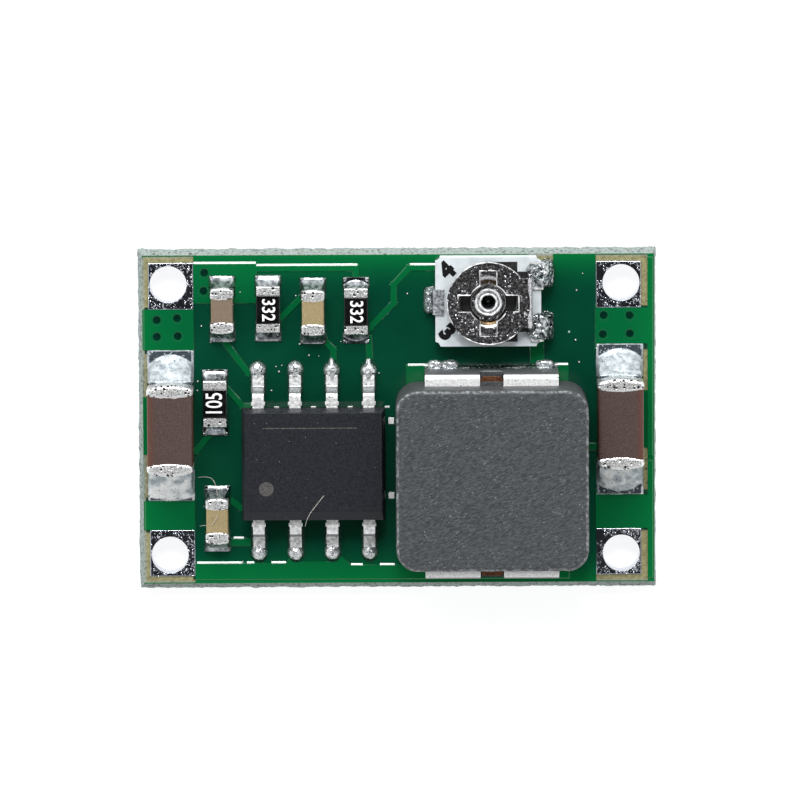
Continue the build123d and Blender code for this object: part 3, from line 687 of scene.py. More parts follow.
class Shape:
    """A mesh in the making: a bmesh and the operators that shape it."""

    def __init__(self) -> None:
        """Starts empty."""
        self.mesh = bmesh.new()

    @classmethod
    def of_node(cls, node: str) -> "Shape":
        """A merged copy of a frame node, with its flat faces joined up.

        Args:
            node: The node's name.

        Returns:
            The copy.
        """
        shape = cls()
        shape.mesh.from_mesh(frame["nodes"][node].data)
        bmesh.ops.remove_doubles(shape.mesh, verts=shape.mesh.verts, dist=1e-4 * MM)
        bmesh.ops.dissolve_limit(
            shape.mesh, angle_limit=math.radians(1), verts=shape.mesh.verts, edges=shape.mesh.edges,
        )
        return shape

    @classmethod
    def of_curve(cls, curve: bpy.types.Curve) -> "Shape":
        """The mesh that a curve or a text makes.

        Args:
            curve: The curve's data.

        Returns:
            The mesh as a shape.
        """
        holder = link(bpy.data.objects.new(curve.name, curve))
        graph = bpy.context.evaluated_depsgraph_get()
        mesh = bpy.data.meshes.new_from_object(holder.evaluated_get(graph))
        bpy.data.objects.remove(holder)
        shape = cls()
        shape.mesh.from_mesh(mesh)
        bpy.data.meshes.remove(mesh)
        return shape

    def rounded_block(self, low: Vector, high: Vector, plan: float, edge: float, cuts: int = 16) -> "Shape":
        """Adds a block with upright corners of one radius and all other edges of a smaller one.

        Args:
            low: Its lowest corner.
            high: Its highest corner.
            plan: Radius of the upright corners.
            edge: Radius of the other edges.
            cuts: Cuts along each edge.

        Returns:
            This shape.
        """
        part = bmesh.new()
        bmesh.ops.create_cube(part, size=2.0)
        bmesh.ops.subdivide_edges(part, edges=part.edges, cuts=cuts, use_grid_fill=True)
        half, centre = (high - low) / 2, (high + low) / 2
        core = Vector((max(half.x - plan, 0.0), max(half.y - plan, 0.0)))
        for vert in part.verts:
            spread = Vector([math.sin(value * math.pi / 2) for value in vert.co])
            point = Vector((spread.x * half.x, spread.y * half.y, spread.z * half.z))
            inner = Vector((max(-core.x, min(core.x, point.x)), max(-core.y, min(core.y, point.y))))
            away = point.xy - inner
            if away.length > plan - edge:
                away = away.normalized() * (plan - edge)
            rise = max(-(half.z - edge), min(half.z - edge, point.z))
            seat = Vector((inner.x + away.x, inner.y + away.y, rise))
            out = point - seat
            vert.co = centre + seat + (out.normalized() * edge if out.length > edge else out)
        return self.join(part)

    def join(self, part: bmesh.types.BMesh) -> "Shape":
        """Takes another mesh in and frees it."""
        held = bpy.data.meshes.new("joined")
        part.to_mesh(held)
        part.free()
        self.mesh.from_mesh(held)
        bpy.data.meshes.remove(held)
        return self

    def ring(self, centre: Vector, radius: float, half_width: float, half_height: float) -> "Shape":
        """Adds a closed ring of oval section, swept round the Z axis.

        Args:
            centre: Its centre.
            radius: From the centre to the middle of the section.
            half_width: Half the section's width.
            half_height: Half its height.

        Returns:
            This shape.
        """
        part = bmesh.new()
        section = bmesh.ops.create_circle(part, segments=12, radius=1.0)["verts"]
        for vert in section:
            vert.co = centre + Vector((radius + vert.co.x * half_width, 0.0, vert.co.y * half_height))
        bmesh.ops.spin(
            part, geom=part.verts[:] + part.edges[:], cent=centre, axis=Vector((0, 0, 1)), angle=math.tau,
            steps=72, use_merge=True,
        )
        bmesh.ops.remove_doubles(part, verts=part.verts, dist=1e-4 * MM)
        bmesh.ops.recalc_face_normals(part, faces=part.faces)
        return self.join(part)

    def patch(self, plan: Plan, height: Rise, base: float, cells: int = 20) -> "Shape":
        """Adds a closed heap over a stretch of board: a grid lifted by a height and walled down to a level.

        Args:
            plan: Gives the place in X and Y for two numbers from -1 to 1.
            height: Gives the height over the base for the same numbers.
            base: The level that it stands on.
            cells: Cells along each side of the grid.

        Returns:
            This shape.
        """
        part = bmesh.new()
        bmesh.ops.create_grid(part, x_segments=cells, y_segments=cells, size=1.0)
        floor = bmesh.ops.extrude_face_region(part, geom=list(part.faces))
        lower = {item for item in floor["geom"] if isinstance(item, bmesh.types.BMVert)}
        for vert in part.verts:
            across, along = vert.co.x, vert.co.y
            spot = plan(across, along)
            rise = 0.0 if vert in lower else max(height(across, along), 0.0)
            vert.co = Vector((spot.x, spot.y, base + rise))
        bmesh.ops.recalc_face_normals(part, faces=part.faces)
        return self.join(part)

    def soften(self, width: float, segments: int = 2, angle: float = 35.0) -> "Shape":
        """Bevels the edges that are sharper than an angle, in degrees."""
        least = math.radians(angle)
        sharp = [edge for edge in self.mesh.edges if edge.is_manifold and edge.calc_face_angle(0.0) > least]
        bmesh.ops.bevel(
            self.mesh, geom=sharp, offset=width, offset_type="OFFSET", segments=segments, profile=0.5,
            affect="EDGES", clamp_overlap=True, material=-1,
        )
        return self

    def cut(self, axis: int, level: float, near: float = -math.inf) -> None:
        """Cuts faces by a plane across one axis.

        Args:
            axis: The axis that the plane stands across.
            level: Where it stands.
            near: Only faces that lie further out than this from the board's outline are cut.
        """
        faces = [face for face in self.mesh.faces if OUTLINE.beyond(face.calc_center_median()) > near]
        geom = {item for face in faces for item in (*face.verts, *face.edges, face)}
        point, normal = Vector(), Vector()
        point[axis], normal[axis] = level, 1
        bmesh.ops.bisect_plane(self.mesh, geom=list(geom), plane_co=point, plane_no=normal)

    def roughen(
        self, height: float, size: float, seed: float = 0.0, where: Callable[[Vector], float] | None = None,
    ) -> "Shape":
        """Moves the surface in and out by smooth noise.

        Args:
            height: The largest move.
            size: The size of the bumps.
            seed: Shifts the pattern.
            where: Share of the move at a point, or None for all of it.

        Returns:
            This shape.
        """
        self.mesh.normal_update()
        moves = []
        for vert in self.mesh.verts:
            share = where(vert.co) if where else 1.0
            swing = noise.noise(vert.co / size + Vector((seed, seed, seed)))
            moves.append(vert.normal * height * share * swing)
        for vert, move in zip(self.mesh.verts, moves):
            vert.co += move
        return self

    def finish(
        self, name: str, material: bpy.types.Material, slot: str, replaced: Iterable[str] = (),
        body: Body = Body.BOARD, smooth: float = 40.0, weighted: bool = False,
    ) -> None:
        """Makes the object, dresses it, seats it in the frame and reports it.

        Args:
            name: Its name.
            material: Its material.
            slot: The record's material slot; not used.
            replaced: Frame nodes that it stands for.
            body: The body that it rides on.
            smooth: Edges sharper than this, in degrees, stay sharp.
            weighted: Whether large faces decide the shading at their bevelled edges.
        """
        mesh = bpy.data.meshes.new(name)
        self.mesh.to_mesh(mesh)
        self.mesh.free()
        mesh.materials.append(material)
        mesh.shade_smooth()
        if weighted:
            normals = [Vector() for _ in mesh.vertices]
            for face in mesh.polygons:
                for index in face.vertices:
                    normals[index] += face.normal * face.area
            mesh.normals_split_custom_set_from_vertices([normal.normalized() for normal in normals])
        else:
            mesh.set_sharp_from_angle(angle=math.radians(smooth))
        piece = link(bpy.data.objects.new(name, mesh))
        if replaced:
            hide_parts(*replaced)
        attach(piece, body.value)
        log.info("%s: %d faces", name, len(mesh.polygons))


@dataclass(frozen=True)
class Softened:
    """A frame node's own shape with softened edges, which takes the node's place."""

    node: str
    name: str
    finish: str
    slot: str = "tin"
    width: float = 0.02 * MM
    segments: int = 2
    angle: float = 35.0
    body: Body = Body.BOARD

    def build(self, finishes: Finishes) -> None:
        """Builds the piece with one of the finishes."""
        shape = Shape.of_node(self.node).soften(self.width, self.segments, self.angle)
        shape.finish(self.name, finishes[self.finish], self.slot, [self.node], self.body, weighted=True)


def smooth_step(low: float, high: float, value: float) -> float:
    """Rises smoothly from 0 at low to 1 at high."""
    share = min(1.0, max(0.0, (value - low) / (high - low)))
    return share * share * (3 - 2 * share)


def disc(centre: Vector, radius: float) -> Plan:
    """Gives places on a disc.

    Args:
        centre: The disc's centre.
        radius: Its radius.

    Returns:
        A function from the square that reaches from -1 to 1 to the disc.
    """

    def place(across: float, along: float) -> Vector:
        """Place on the disc."""
        away = Vector((across, along, 0))
        reach = max(abs(across), abs(along))
        return centre + (away.normalized() * reach * radius if reach else away)

    return place


def written(name: str, text: str, size: float, place: Matrix, thickness: float, weight: float) -> Shape:
    """Plain digits as a thin raised print.

    Args:
        name: Name of the work curve.
        text: The digits.
        size: Height of the type.
        place: Where the middle of the text goes.
        thickness: Thickness of the print.
        weight: How much the strokes are thickened.

    Returns:
        The print as a shape.
    """
    letters = bpy.data.curves.new(name, "FONT")
    letters.body = text
    letters.size = size / MM
    letters.offset = weight / MM
    letters.extrude = thickness / MM / 2
    letters.align_x = letters.align_y = "CENTER"
    letters.resolution_u = 4
    shape = Shape.of_curve(letters)
    bmesh.ops.scale(shape.mesh, vec=(MM, MM, MM), verts=shape.mesh.verts)
    bmesh.ops.transform(shape.mesh, matrix=place, verts=shape.mesh.verts)
    bmesh.ops.remove_doubles(shape.mesh, verts=shape.mesh.verts, dist=1e-3 * MM)
    return shape


def swept(name: str, points: Iterable[Point], radius: float, closed: bool = False, order: int = 3) -> Shape:
    """A thin round section swept along points.

    Args:
        name: Name of the work curve.
        points: The points, in millimetres.
        radius: Radius of the section.
        closed: Whether the end joins the start.
        order: How smooth the line is; 2 is straight runs.

    Returns:
        The swept shape.
    """
    curve = bpy.data.curves.new(name, "CURVE")
    curve.dimensions = "3D"
    curve.bevel_depth = radius
    curve.bevel_resolution = 2
    curve.use_fill_caps = not closed
    line = curve.splines.new("NURBS")
    knots = list(points)
    line.points.add(len(knots) - 1)
    for knot, point in zip(line.points, knots):
        knot.co = (*(Vector(point) * MM), 1.0)
    line.order_u = order
    line.use_endpoint_u = not closed
    line.use_cyclic_u = closed
    return Shape.of_curve(curve)


@dataclass
class Board:
    """The laminate with its torn edges, the tinned holes, and what shows on the masks."""

    finishes: Finishes
    strip: float = 0.3 * MM
    tooth: float = 0.1 * MM
    tear: float = 0.07 * MM
    tear_sizes: tuple[float, float] = (0.5 * MM, 0.12 * MM)
    tear_ramp: float = 0.06 * MM
    layers: int = 9
    via_radius: float = 0.2 * MM
    via_lip: float = 0.007 * MM
    ridge_offset: float = 0.038
    ridge_reach: float = 0.04
    vias: tuple[tuple[float, float], ...] = (
        (-8.20, 3.48), (-7.50, 3.54), (-8.20, 2.90), (-7.48, 2.92), (-6.55, 5.11), (-6.58, 4.48),
        (7.20, 3.58), (8.09, 3.57), (7.17, 2.92), (8.10, 2.94),
    )
    marks: tuple[tuple[float, float], ...] = ((-0.14, -0.06), (-0.14, -2.66))
    ridges: tuple[Point, ...] = (
        (-6.92, -4.78, 5.4), (-4.78, -1.28, 5.32), (0.5, 1.42, 5.32), (0.45, 1.2, 1.84), (5.52, 5.97, 1.84),
        (-6.87, -5.28, -5.02), (-5.15, -4.9, -5.02), (-4.3, -3.8, -5.02), (-1.55, -1.15, -5.1),
        (-0.55, -0.04, -5.1), (-5.6, -5.25, -4.15), (6.93, 8.5, 2.42), (-8.5, -6.95, -2.7),
    )
    beads: tuple[tuple[float, float], ...] = (
        (-5.32, 4.43), (-5.57, 4.00), (-3.40, 4.30), (-3.28, 2.62), (-6.35, 2.70), (-1.86, 2.70),
        (-2.62, 2.20), (-2.96, 2.23), (-3.90, 1.88), (-4.10, 1.84), (-4.00, 1.67), (-0.55, 1.60),
        (-6.80, 1.34), (-6.82, 1.02), (-6.66, 3.26), (6.48, 5.02), (6.27, 4.44), (6.23, 2.72),
        (0.44, 4.35), (6.10, 0.62), (-4.26, 1.01), (6.02, -1.42), (6.35, 1.95), (-0.95, 0.72),
        (-7.30, -1.90), (-6.62, -3.02), (-5.30, -4.95), (6.60, -3.10),
    )

    def build(self) -> None:
        """Builds every piece of the board."""
        self.laminate()
        for corner in ("front_left", "front_right", "rear_left", "rear_right"):
            hole = Softened("plated_hole_" + corner, "tinned_hole_" + corner, "land_tin", width=0.008 * MM)
            hole.build(self.finishes)
        self.via_dimples()
        self.mask_ridges()
        self.ink_marks()
        self.dust()

    def laminate(self) -> None:
        """The laminate, with its edge strips cut fine and torn inwards."""
        shape = Shape.of_node("board_laminate")
        spans = ((0, OUTLINE.half_length * MM, OUTLINE.shift * MM), (1, OUTLINE.half_width * MM, 0.0))
        for axis, half, middle in spans:
            for side in (-1, 1):
                shape.cut(axis, middle + side * (half - self.strip))
        for axis, half, middle in spans:
            step = -half - self.strip
            while step < half + self.strip:
                step += self.tooth
                shape.cut(axis, step + middle, -self.strip)
        low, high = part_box("board_laminate")
        for level in range(1, self.layers):
            shape.cut(2, low.z + (high.z - low.z) * level / self.layers, -0.001 * MM)
        for vert in shape.mesh.verts:
            out = OUTLINE.beyond(vert.co)
            if out > 0.005 * MM:
                coarse, fine = (noise.noise(vert.co / size) for size in self.tear_sizes)
                rough = max(0.55 + 0.45 * coarse + 0.5 * fine, 0.0)
                depth = min(out, self.tear * rough * min(1.0, out / self.tear_ramp))
                for axis, half, middle in spans:
                    if abs(vert.co[axis] - middle) > half:
                        vert.co[axis] -= math.copysign(depth, vert.co[axis] - middle)
        shape.finish("laminate", self.finishes["laminate"], "laminate", ["board_laminate"], smooth=60)

    def via_dimples(self) -> None:
        """A low ring with a sunk middle over each via, on both faces, where the mask tents it."""
        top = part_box("top_solder_mask")[1].z
        above, below = Shape(), Shape()

        def rise(across: float, along: float) -> float:
            """Height of the ring and its dish."""
            reach = max(abs(across), abs(along))
            return self.via_lip * math.exp(-(((reach - 0.86) / 0.14) ** 2)) + 0.0006 * MM

        for x, y in self.vias:
            plan = disc(Vector((x, y, 0)) * MM, self.via_radius)
            above.patch(plan, rise, top - 0.0003 * MM)
            below.patch(plan, rise, -0.0003 * MM)
        bmesh.ops.scale(below.mesh, vec=Vector((1, 1, -1)), verts=below.mesh.verts)
        bmesh.ops.recalc_face_normals(below.mesh, faces=below.mesh.faces)
        above.finish("via_dimples", self.finishes["via_mask"], "solder_mask")
        below.finish("via_dimples_below", self.finishes["via_mask"], "solder_mask")

    def mask_ridges(self) -> None:
        """The mask's slope at the rear edge of pours and traces, drawn near white as a painted highlight."""
        shape = Shape()
        for start, end, edge in self.ridges:
            self.ridge(shape, start, end - start, edge)
        # painted highlight: the ridges take a near-white finish
        shape.finish("mask_ridges", self.finishes["mask_glint"], "solder_mask")

    def ridge(self, shape: Shape, start: float, length: float, edge: float) -> None:
        """One stretch of ridge, in millimetres.

        Args:
            shape: What it joins.
            start: The X that it starts at.
            length: Its length along X.
            edge: The Y of the pour's edge.
        """
        low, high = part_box("top_solder_mask")
        foot = low.z + 0.02 * MM
        tall = high.z - foot + 0.001 * MM

        def plan(across: float, along: float) -> Vector:
            """Place along the edge."""
            x = start + (across + 1) / 2 * length
            return Vector((x, edge + self.ridge_offset + along * self.ridge_reach, 0)) * MM

        def rise(across: float, along: float) -> float:
            """Height of the slope, a little uneven along the edge."""
            drift = noise.noise(Vector((start + across * length, 3.0, 0.0)) * 2.0)
            return tall * ((1 - along) / 2) ** (1.0 + 0.12 * drift)

        shape.patch(plan, rise, foot, 24)

    def dust(self) -> None:
        """Tiny beads of solder spattered over the mask."""
        draw = random.Random(3)
        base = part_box("top_solder_mask")[1].z - COPPER - 0.001 * MM
        shape = Shape()
        for x, y in self.beads:
            radius = draw.uniform(0.022, 0.042) * MM
            reach = Vector((radius, radius, radius))
            centre = Vector((x * MM, y * MM, base + radius * 0.8))
            shape.rounded_block(centre - reach, centre + reach, radius, radius, 5)
        shape.finish("solder_dust", self.finishes["lead_tin"], "solder")

    def ink_marks(self) -> None:
        """The two small white squares printed beside the inductor."""
        shape = Shape()
        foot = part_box("top_solder_mask")[1].z - COPPER
        half, rise = Vector((0.1, 0.115, 0.0)) * MM, Vector((0, 0, 0.02 * MM))
        for x, y in self.marks:
            centre = Vector((x * MM, y * MM, foot))
            shape.rounded_block(centre - half, centre + half + rise, 0.03 * MM, 0.006 * MM, 6)
        shape.finish("ink_marks", self.finishes["ink_white"], "alumina")


@dataclass
class Chip:
    """A two-ended chip part that lies along Y, with its solder. Its kinds add the body and the ends."""

    name: str
    finishes: Finishes
    seed: float = 0.0
    toe: float = 0.35 * MM
    pad_side: float = 0.06 * MM
    climb: float = 0.6
    fall: float = 1.7
    hollow: float = 0.3
    arch: float = 0.0
    front_arch: float = 1.0
    front_climb: float = 0.9
    tips: float = 0.06 * MM
    unevenness: float = 0.008 * MM
    solder_finish: str = "solder"

    def ends_box(self) -> tuple[Vector, Vector]:
        """Lowest and highest corner of the part."""
        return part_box(self.name + "_end_caps")

    def solder(self) -> None:
        """Both joints."""
        shape = Shape()
        for side in Side:
            self.joint(shape, side)
        shape.roughen(self.unevenness, 0.3 * MM, self.seed)
        finish = self.finishes[self.solder_finish]
        shape.finish(self.name + "_joints", finish, "solder", [self.name + "_solder"])

    def joint(self, shape: Shape, side: Side) -> None:
        """One joint: a film over the pad and a round-fronted fillet up the chip's end.

        Args:
            shape: What it joins.
            side: The side that it is on.
        """
        low, high = self.ends_box()
        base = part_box(self.name + "_solder")[0].z
        middle = (low + high) / 2
        pad = (high.x - low.x) / 2 + self.pad_side
        film = low.z - base
        end = middle.y + side.value * (high.y - low.y) / 2
        tall = (high.z - low.z) * self.climb
        arch = self.arch
        if side is Side.FRONT:
            tall, arch = tall * self.front_climb, arch * self.front_arch

        def run(along: float) -> float:
            """Share of the toe's length that lies between the chip's end and a place."""
            return along * 0.54 + 0.46

        def plan(across: float, along: float) -> Vector:
            """Place on the pad."""
            return Vector((middle.x + across * pad, end + side.value * self.toe * run(along), 0))

        def rise(across: float, along: float) -> float:
            """Height of the solder: a hollow slope, narrower towards the top or arched at the toe."""
            out = min(1.0, max(run(along), 0.0))
            front = min(1.0, out / (1 - arch * (0.14 + 0.4 * across**2)))
            rim = min(1.0, (1 - abs(across)) / 0.05) ** 0.5 * min(1.0, (1 - along) / 0.06) ** 0.5
            flank = 1 - smooth_step(1 - self.hollow * (1 - out) - 0.12, 1.0, abs(across))
            tip = math.exp(-(((abs(across) - 0.88) / 0.1) ** 2) - ((out - 0.84) / 0.14) ** 2)
            return rim * (film * 1.4 + tall * (1 - front) ** self.fall * flank + self.tips * tip)

        shape.patch(plan, rise, base, 30)


@dataclass
class Capacitor(Chip):
    """A chip capacitor: a fired block with dipped metal ends."""

    ceramic: str = "small_capacitor_ceramic"
    slot: str = "small_capacitor_ceramic"
    band: float = 0.38 * MM
    bow: float = 0.06 * MM
    round_end: float = 0.06 * MM
    corner: float = 0.07 * MM

    def build(self) -> None:
        """Builds the block, its ends and its solder."""
        low, high = self.ends_box()
        inset = Vector((0.02 * MM, self.band * 0.4, 0.02 * MM))
        block = Shape().rounded_block(low + inset, high - inset, self.corner, self.corner * 0.9, 14)
        block.roughen(0.004 * MM, 0.2 * MM, self.seed)
        block.finish(self.name + "_block", self.finishes[self.ceramic], self.slot, [self.name + "_ceramic"])
        self.ends(low, high)
        self.solder()

    def ends(self, low: Vector, high: Vector) -> None:
        """The dipped ends, rounded off and bowed inwards at the middle.

        Args:
            low: Lowest corner of the part.
            high: Its highest corner.
        """
        shape = Shape()
        for side in Side:
            outer = side.pick(low, high)
            inner = outer - side.value * self.band
            first = Vector((low.x, min(outer, inner), low.z))
            second = Vector((high.x, max(outer, inner), high.z))
            shape.rounded_block(first, second, self.corner, self.corner, 18)
        middle, half = (low + high) / 2, (high - low) / 2
        for vert in shape.mesh.verts:
            depth = (half.y - abs(vert.co.y - middle.y)) / self.band
            bowed = 1 - ((vert.co.x - middle.x) / half.x) ** 2
            inward = self.bow * bowed * max(0.0, depth) ** 2
            inward += self.round_end * (1 - bowed) * max(0.0, 1 - depth)
            vert.co.y -= math.copysign(inward, vert.co.y - middle.y)
        shape.roughen(0.012 * MM, 0.07 * MM, self.seed + 3)
        shape.finish(self.name + "_ends", self.finishes["cap_tin"], "tin", [self.name + "_end_caps"])


@dataclass
class Resistor(Chip):
    """A chip resistor: wrapped ends, a dark coat and printed digits, over the frame's white plate."""

    digits: str = ""
    turn: float = -90.0
    type_size: float = 0.63 * MM
    squeeze: float = 0.85

    def ends_box(self) -> tuple[Vector, Vector]:
        """Lowest and highest corner of the part."""
        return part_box(self.name + "_terminals")

    def build(self) -> None:
        """Builds the ends, the coat, the digits and the solder."""
        ends = Softened(self.name + "_terminals", self.name + "_ends", "cap_tin", width=0.03 * MM, segments=3)
        ends.build(self.finishes)
        low, high = self.ends_box()
        coat_low, coat_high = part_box(self.name + "_overcoat")
        coat_low.x, coat_high.x = low.x - 0.004 * MM, high.x + 0.004 * MM
        coat = Shape().rounded_block(coat_low, coat_high, 0.03 * MM, 0.02 * MM, 12)
        coat.finish(self.name + "_coat", self.finishes["overcoat"], "overcoat", [self.name + "_overcoat"])
        middle = (coat_low + coat_high) / 2
        place = Matrix.Translation((middle.x, middle.y, coat_high.z))
        place = place @ Matrix.Rotation(math.radians(self.turn), 4, "Z")
        place = place @ Matrix.Diagonal((self.squeeze, 1.0, 1.0, 1.0))
        digits = written(self.name + "_digits", self.digits, self.type_size, place, 0.008 * MM, 0.008 * MM)
        digits.finish(self.name + "_digits", self.finishes["ink_white"], "alumina")
        self.solder()


@dataclass
class Controller:
    """The controller package: moulded body, marking, leads and their solder."""

    finishes: Finishes
    count: int = 8
    pointed: tuple[int, ...] = (5, 6)
    foot: float = 0.225 * MM
    bead: float = 0.275 * MM
    toe: float = 0.46 * MM
    heel: float = 0.6 * MM
    climb: float = 0.26 * MM
    nose: float = 0.19 * MM
    nose_width: float = 0.52
    line_inset: Point = (0.72, 0.66, 0.004)
    line_size: Point = (3.25, 0.035, 0.008)
    dot_place: Point = (-1.63, -0.78, -0.035)
    dot_radius: float = 0.262 * MM

    def build(self) -> None:
        """Builds every piece of the package."""
        body = Softened(
            "controller_body", "package_body", "mould_compound", "mould_compound", 0.025 * MM, 3, 20.0,
        )
        body.build(self.finishes)
        self.marking()
        self.flash()
        joints = Shape()
        draw = random.Random(7)
        for number in range(1, self.count + 1):
            node = f"controller_lead_{number}"
            Softened(node, f"lead_{number}", "lead_tin", width=0.022 * MM).build(self.finishes)
            side = Side.FRONT if number <= self.count // 2 else Side.REAR
            self.joint(joints, node, side, draw, number in self.pointed)
        joints.roughen(0.022 * MM, 0.1 * MM, 5)
        joints.finish("lead_joints", self.finishes["solder_lumpy"], "solder", ["controller_solder"])

    def flash(self) -> None:
        """Thin slivers of metal and flash along the rear parting line."""
        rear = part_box("controller_body")[1].y
        shape = Shape()
        for number in range(self.count // 2 + 1, self.count + 1):
            low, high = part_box(f"controller_lead_{number}")
            centre = (low.x + high.x) / 2
            for shift, half, drop in ((0.0, 0.19, 0.0), (0.635, 0.09, 0.1)):
                first = Vector((centre + (shift - half) * MM, rear - 0.03 * MM, high.z - (drop + 0.02) * MM))
                second = first + Vector((2 * half, 0.07, 0.03)) * MM
                shape.rounded_block(first, second, 0.02 * MM, 0.01 * MM, 6)
        shape.finish("mould_flash", self.finishes["lead_tin"], "tin")

    def marking(self) -> None:
        """The thin line and the filled dot marked on the top."""
        low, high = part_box("controller_body")
        line = Shape()
        inset_x, inset_y, sink = self.line_inset
        start = Vector((low.x + inset_x * MM, high.y - inset_y * MM, high.z - sink * MM))
        line.rounded_block(start, start + Vector(self.line_size) * MM, 0.015 * MM, 0.003 * MM, 8)
        line.finish("marking_line", self.finishes["marking"], "mould_compound")
        dot = Shape()
        middle = (low + high) / 2
        place = Matrix.Translation(Vector((middle.x, middle.y, high.z)) + Vector(self.dot_place) * MM)
        bmesh.ops.create_circle(dot.mesh, cap_ends=True, segments=40, radius=self.dot_radius, matrix=place)
        dot.finish("marking_dot", self.finishes["marking"], "mould_compound")

    def joint(self, joints: Shape, node: str, side: Side, draw: random.Random, pointed: bool) -> None:
        """One lead's solder: low flanks beside the foot and a round bead at its tip.

        Args:
            joints: The shape that it joins.
            node: The lead's node.
            side: The side of the package that it is on.
            draw: Source of the small differences.
            pointed: Whether the bead is drawn out to a point.
        """
        low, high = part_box(node)
        tip = side.pick(low, high)
        centre = (low.x + high.x) / 2 + draw.uniform(-0.02, 0.02) * MM
        radius = self.bead * draw.uniform(0.95, 1.05)
        nose = self.nose if pointed else 0.0
        middle = self.toe - self.bead + draw.uniform(-0.02, 0.02) * MM - nose / 3
        length = self.heel + middle + radius + nose

        def run(along: float) -> float:
            """Distance beyond the lead's tip."""
            return -self.heel + (along + 1) / 2 * length

        def half_width(beyond: float) -> float:
            """Half the joint's width at a distance beyond the lead's tip."""
            rounded = radius * math.sqrt(max(0.0, 1 - ((beyond - middle) / radius) ** 2))
            if beyond < middle:
                return max(rounded, self.foot)
            share = (beyond - middle) / (radius + nose)
            return max(rounded, nose * self.nose_width * math.sqrt(max(0.0, 1 - share**6)))

        def plan(across: float, along: float) -> Vector:
            """Place on the pad."""
            return Vector((centre + across * half_width(run(along)), tip + side.value * run(along), 0))

        def rise(across: float, along: float) -> float:
            """Height of the solder."""
            share = min(1.0, half_width(run(along)) / radius) ** 0.7
            level = self.climb if run(along) > middle - radius else self.climb * 0.5
            rounded = math.sqrt(max(0.0, 1 - across**2)) * min(1.0, (1 + along) / 0.1)
            return level * share * rounded + 0.015 * MM

        joints.patch(plan, rise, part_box("controller_solder")[0].z, 26)


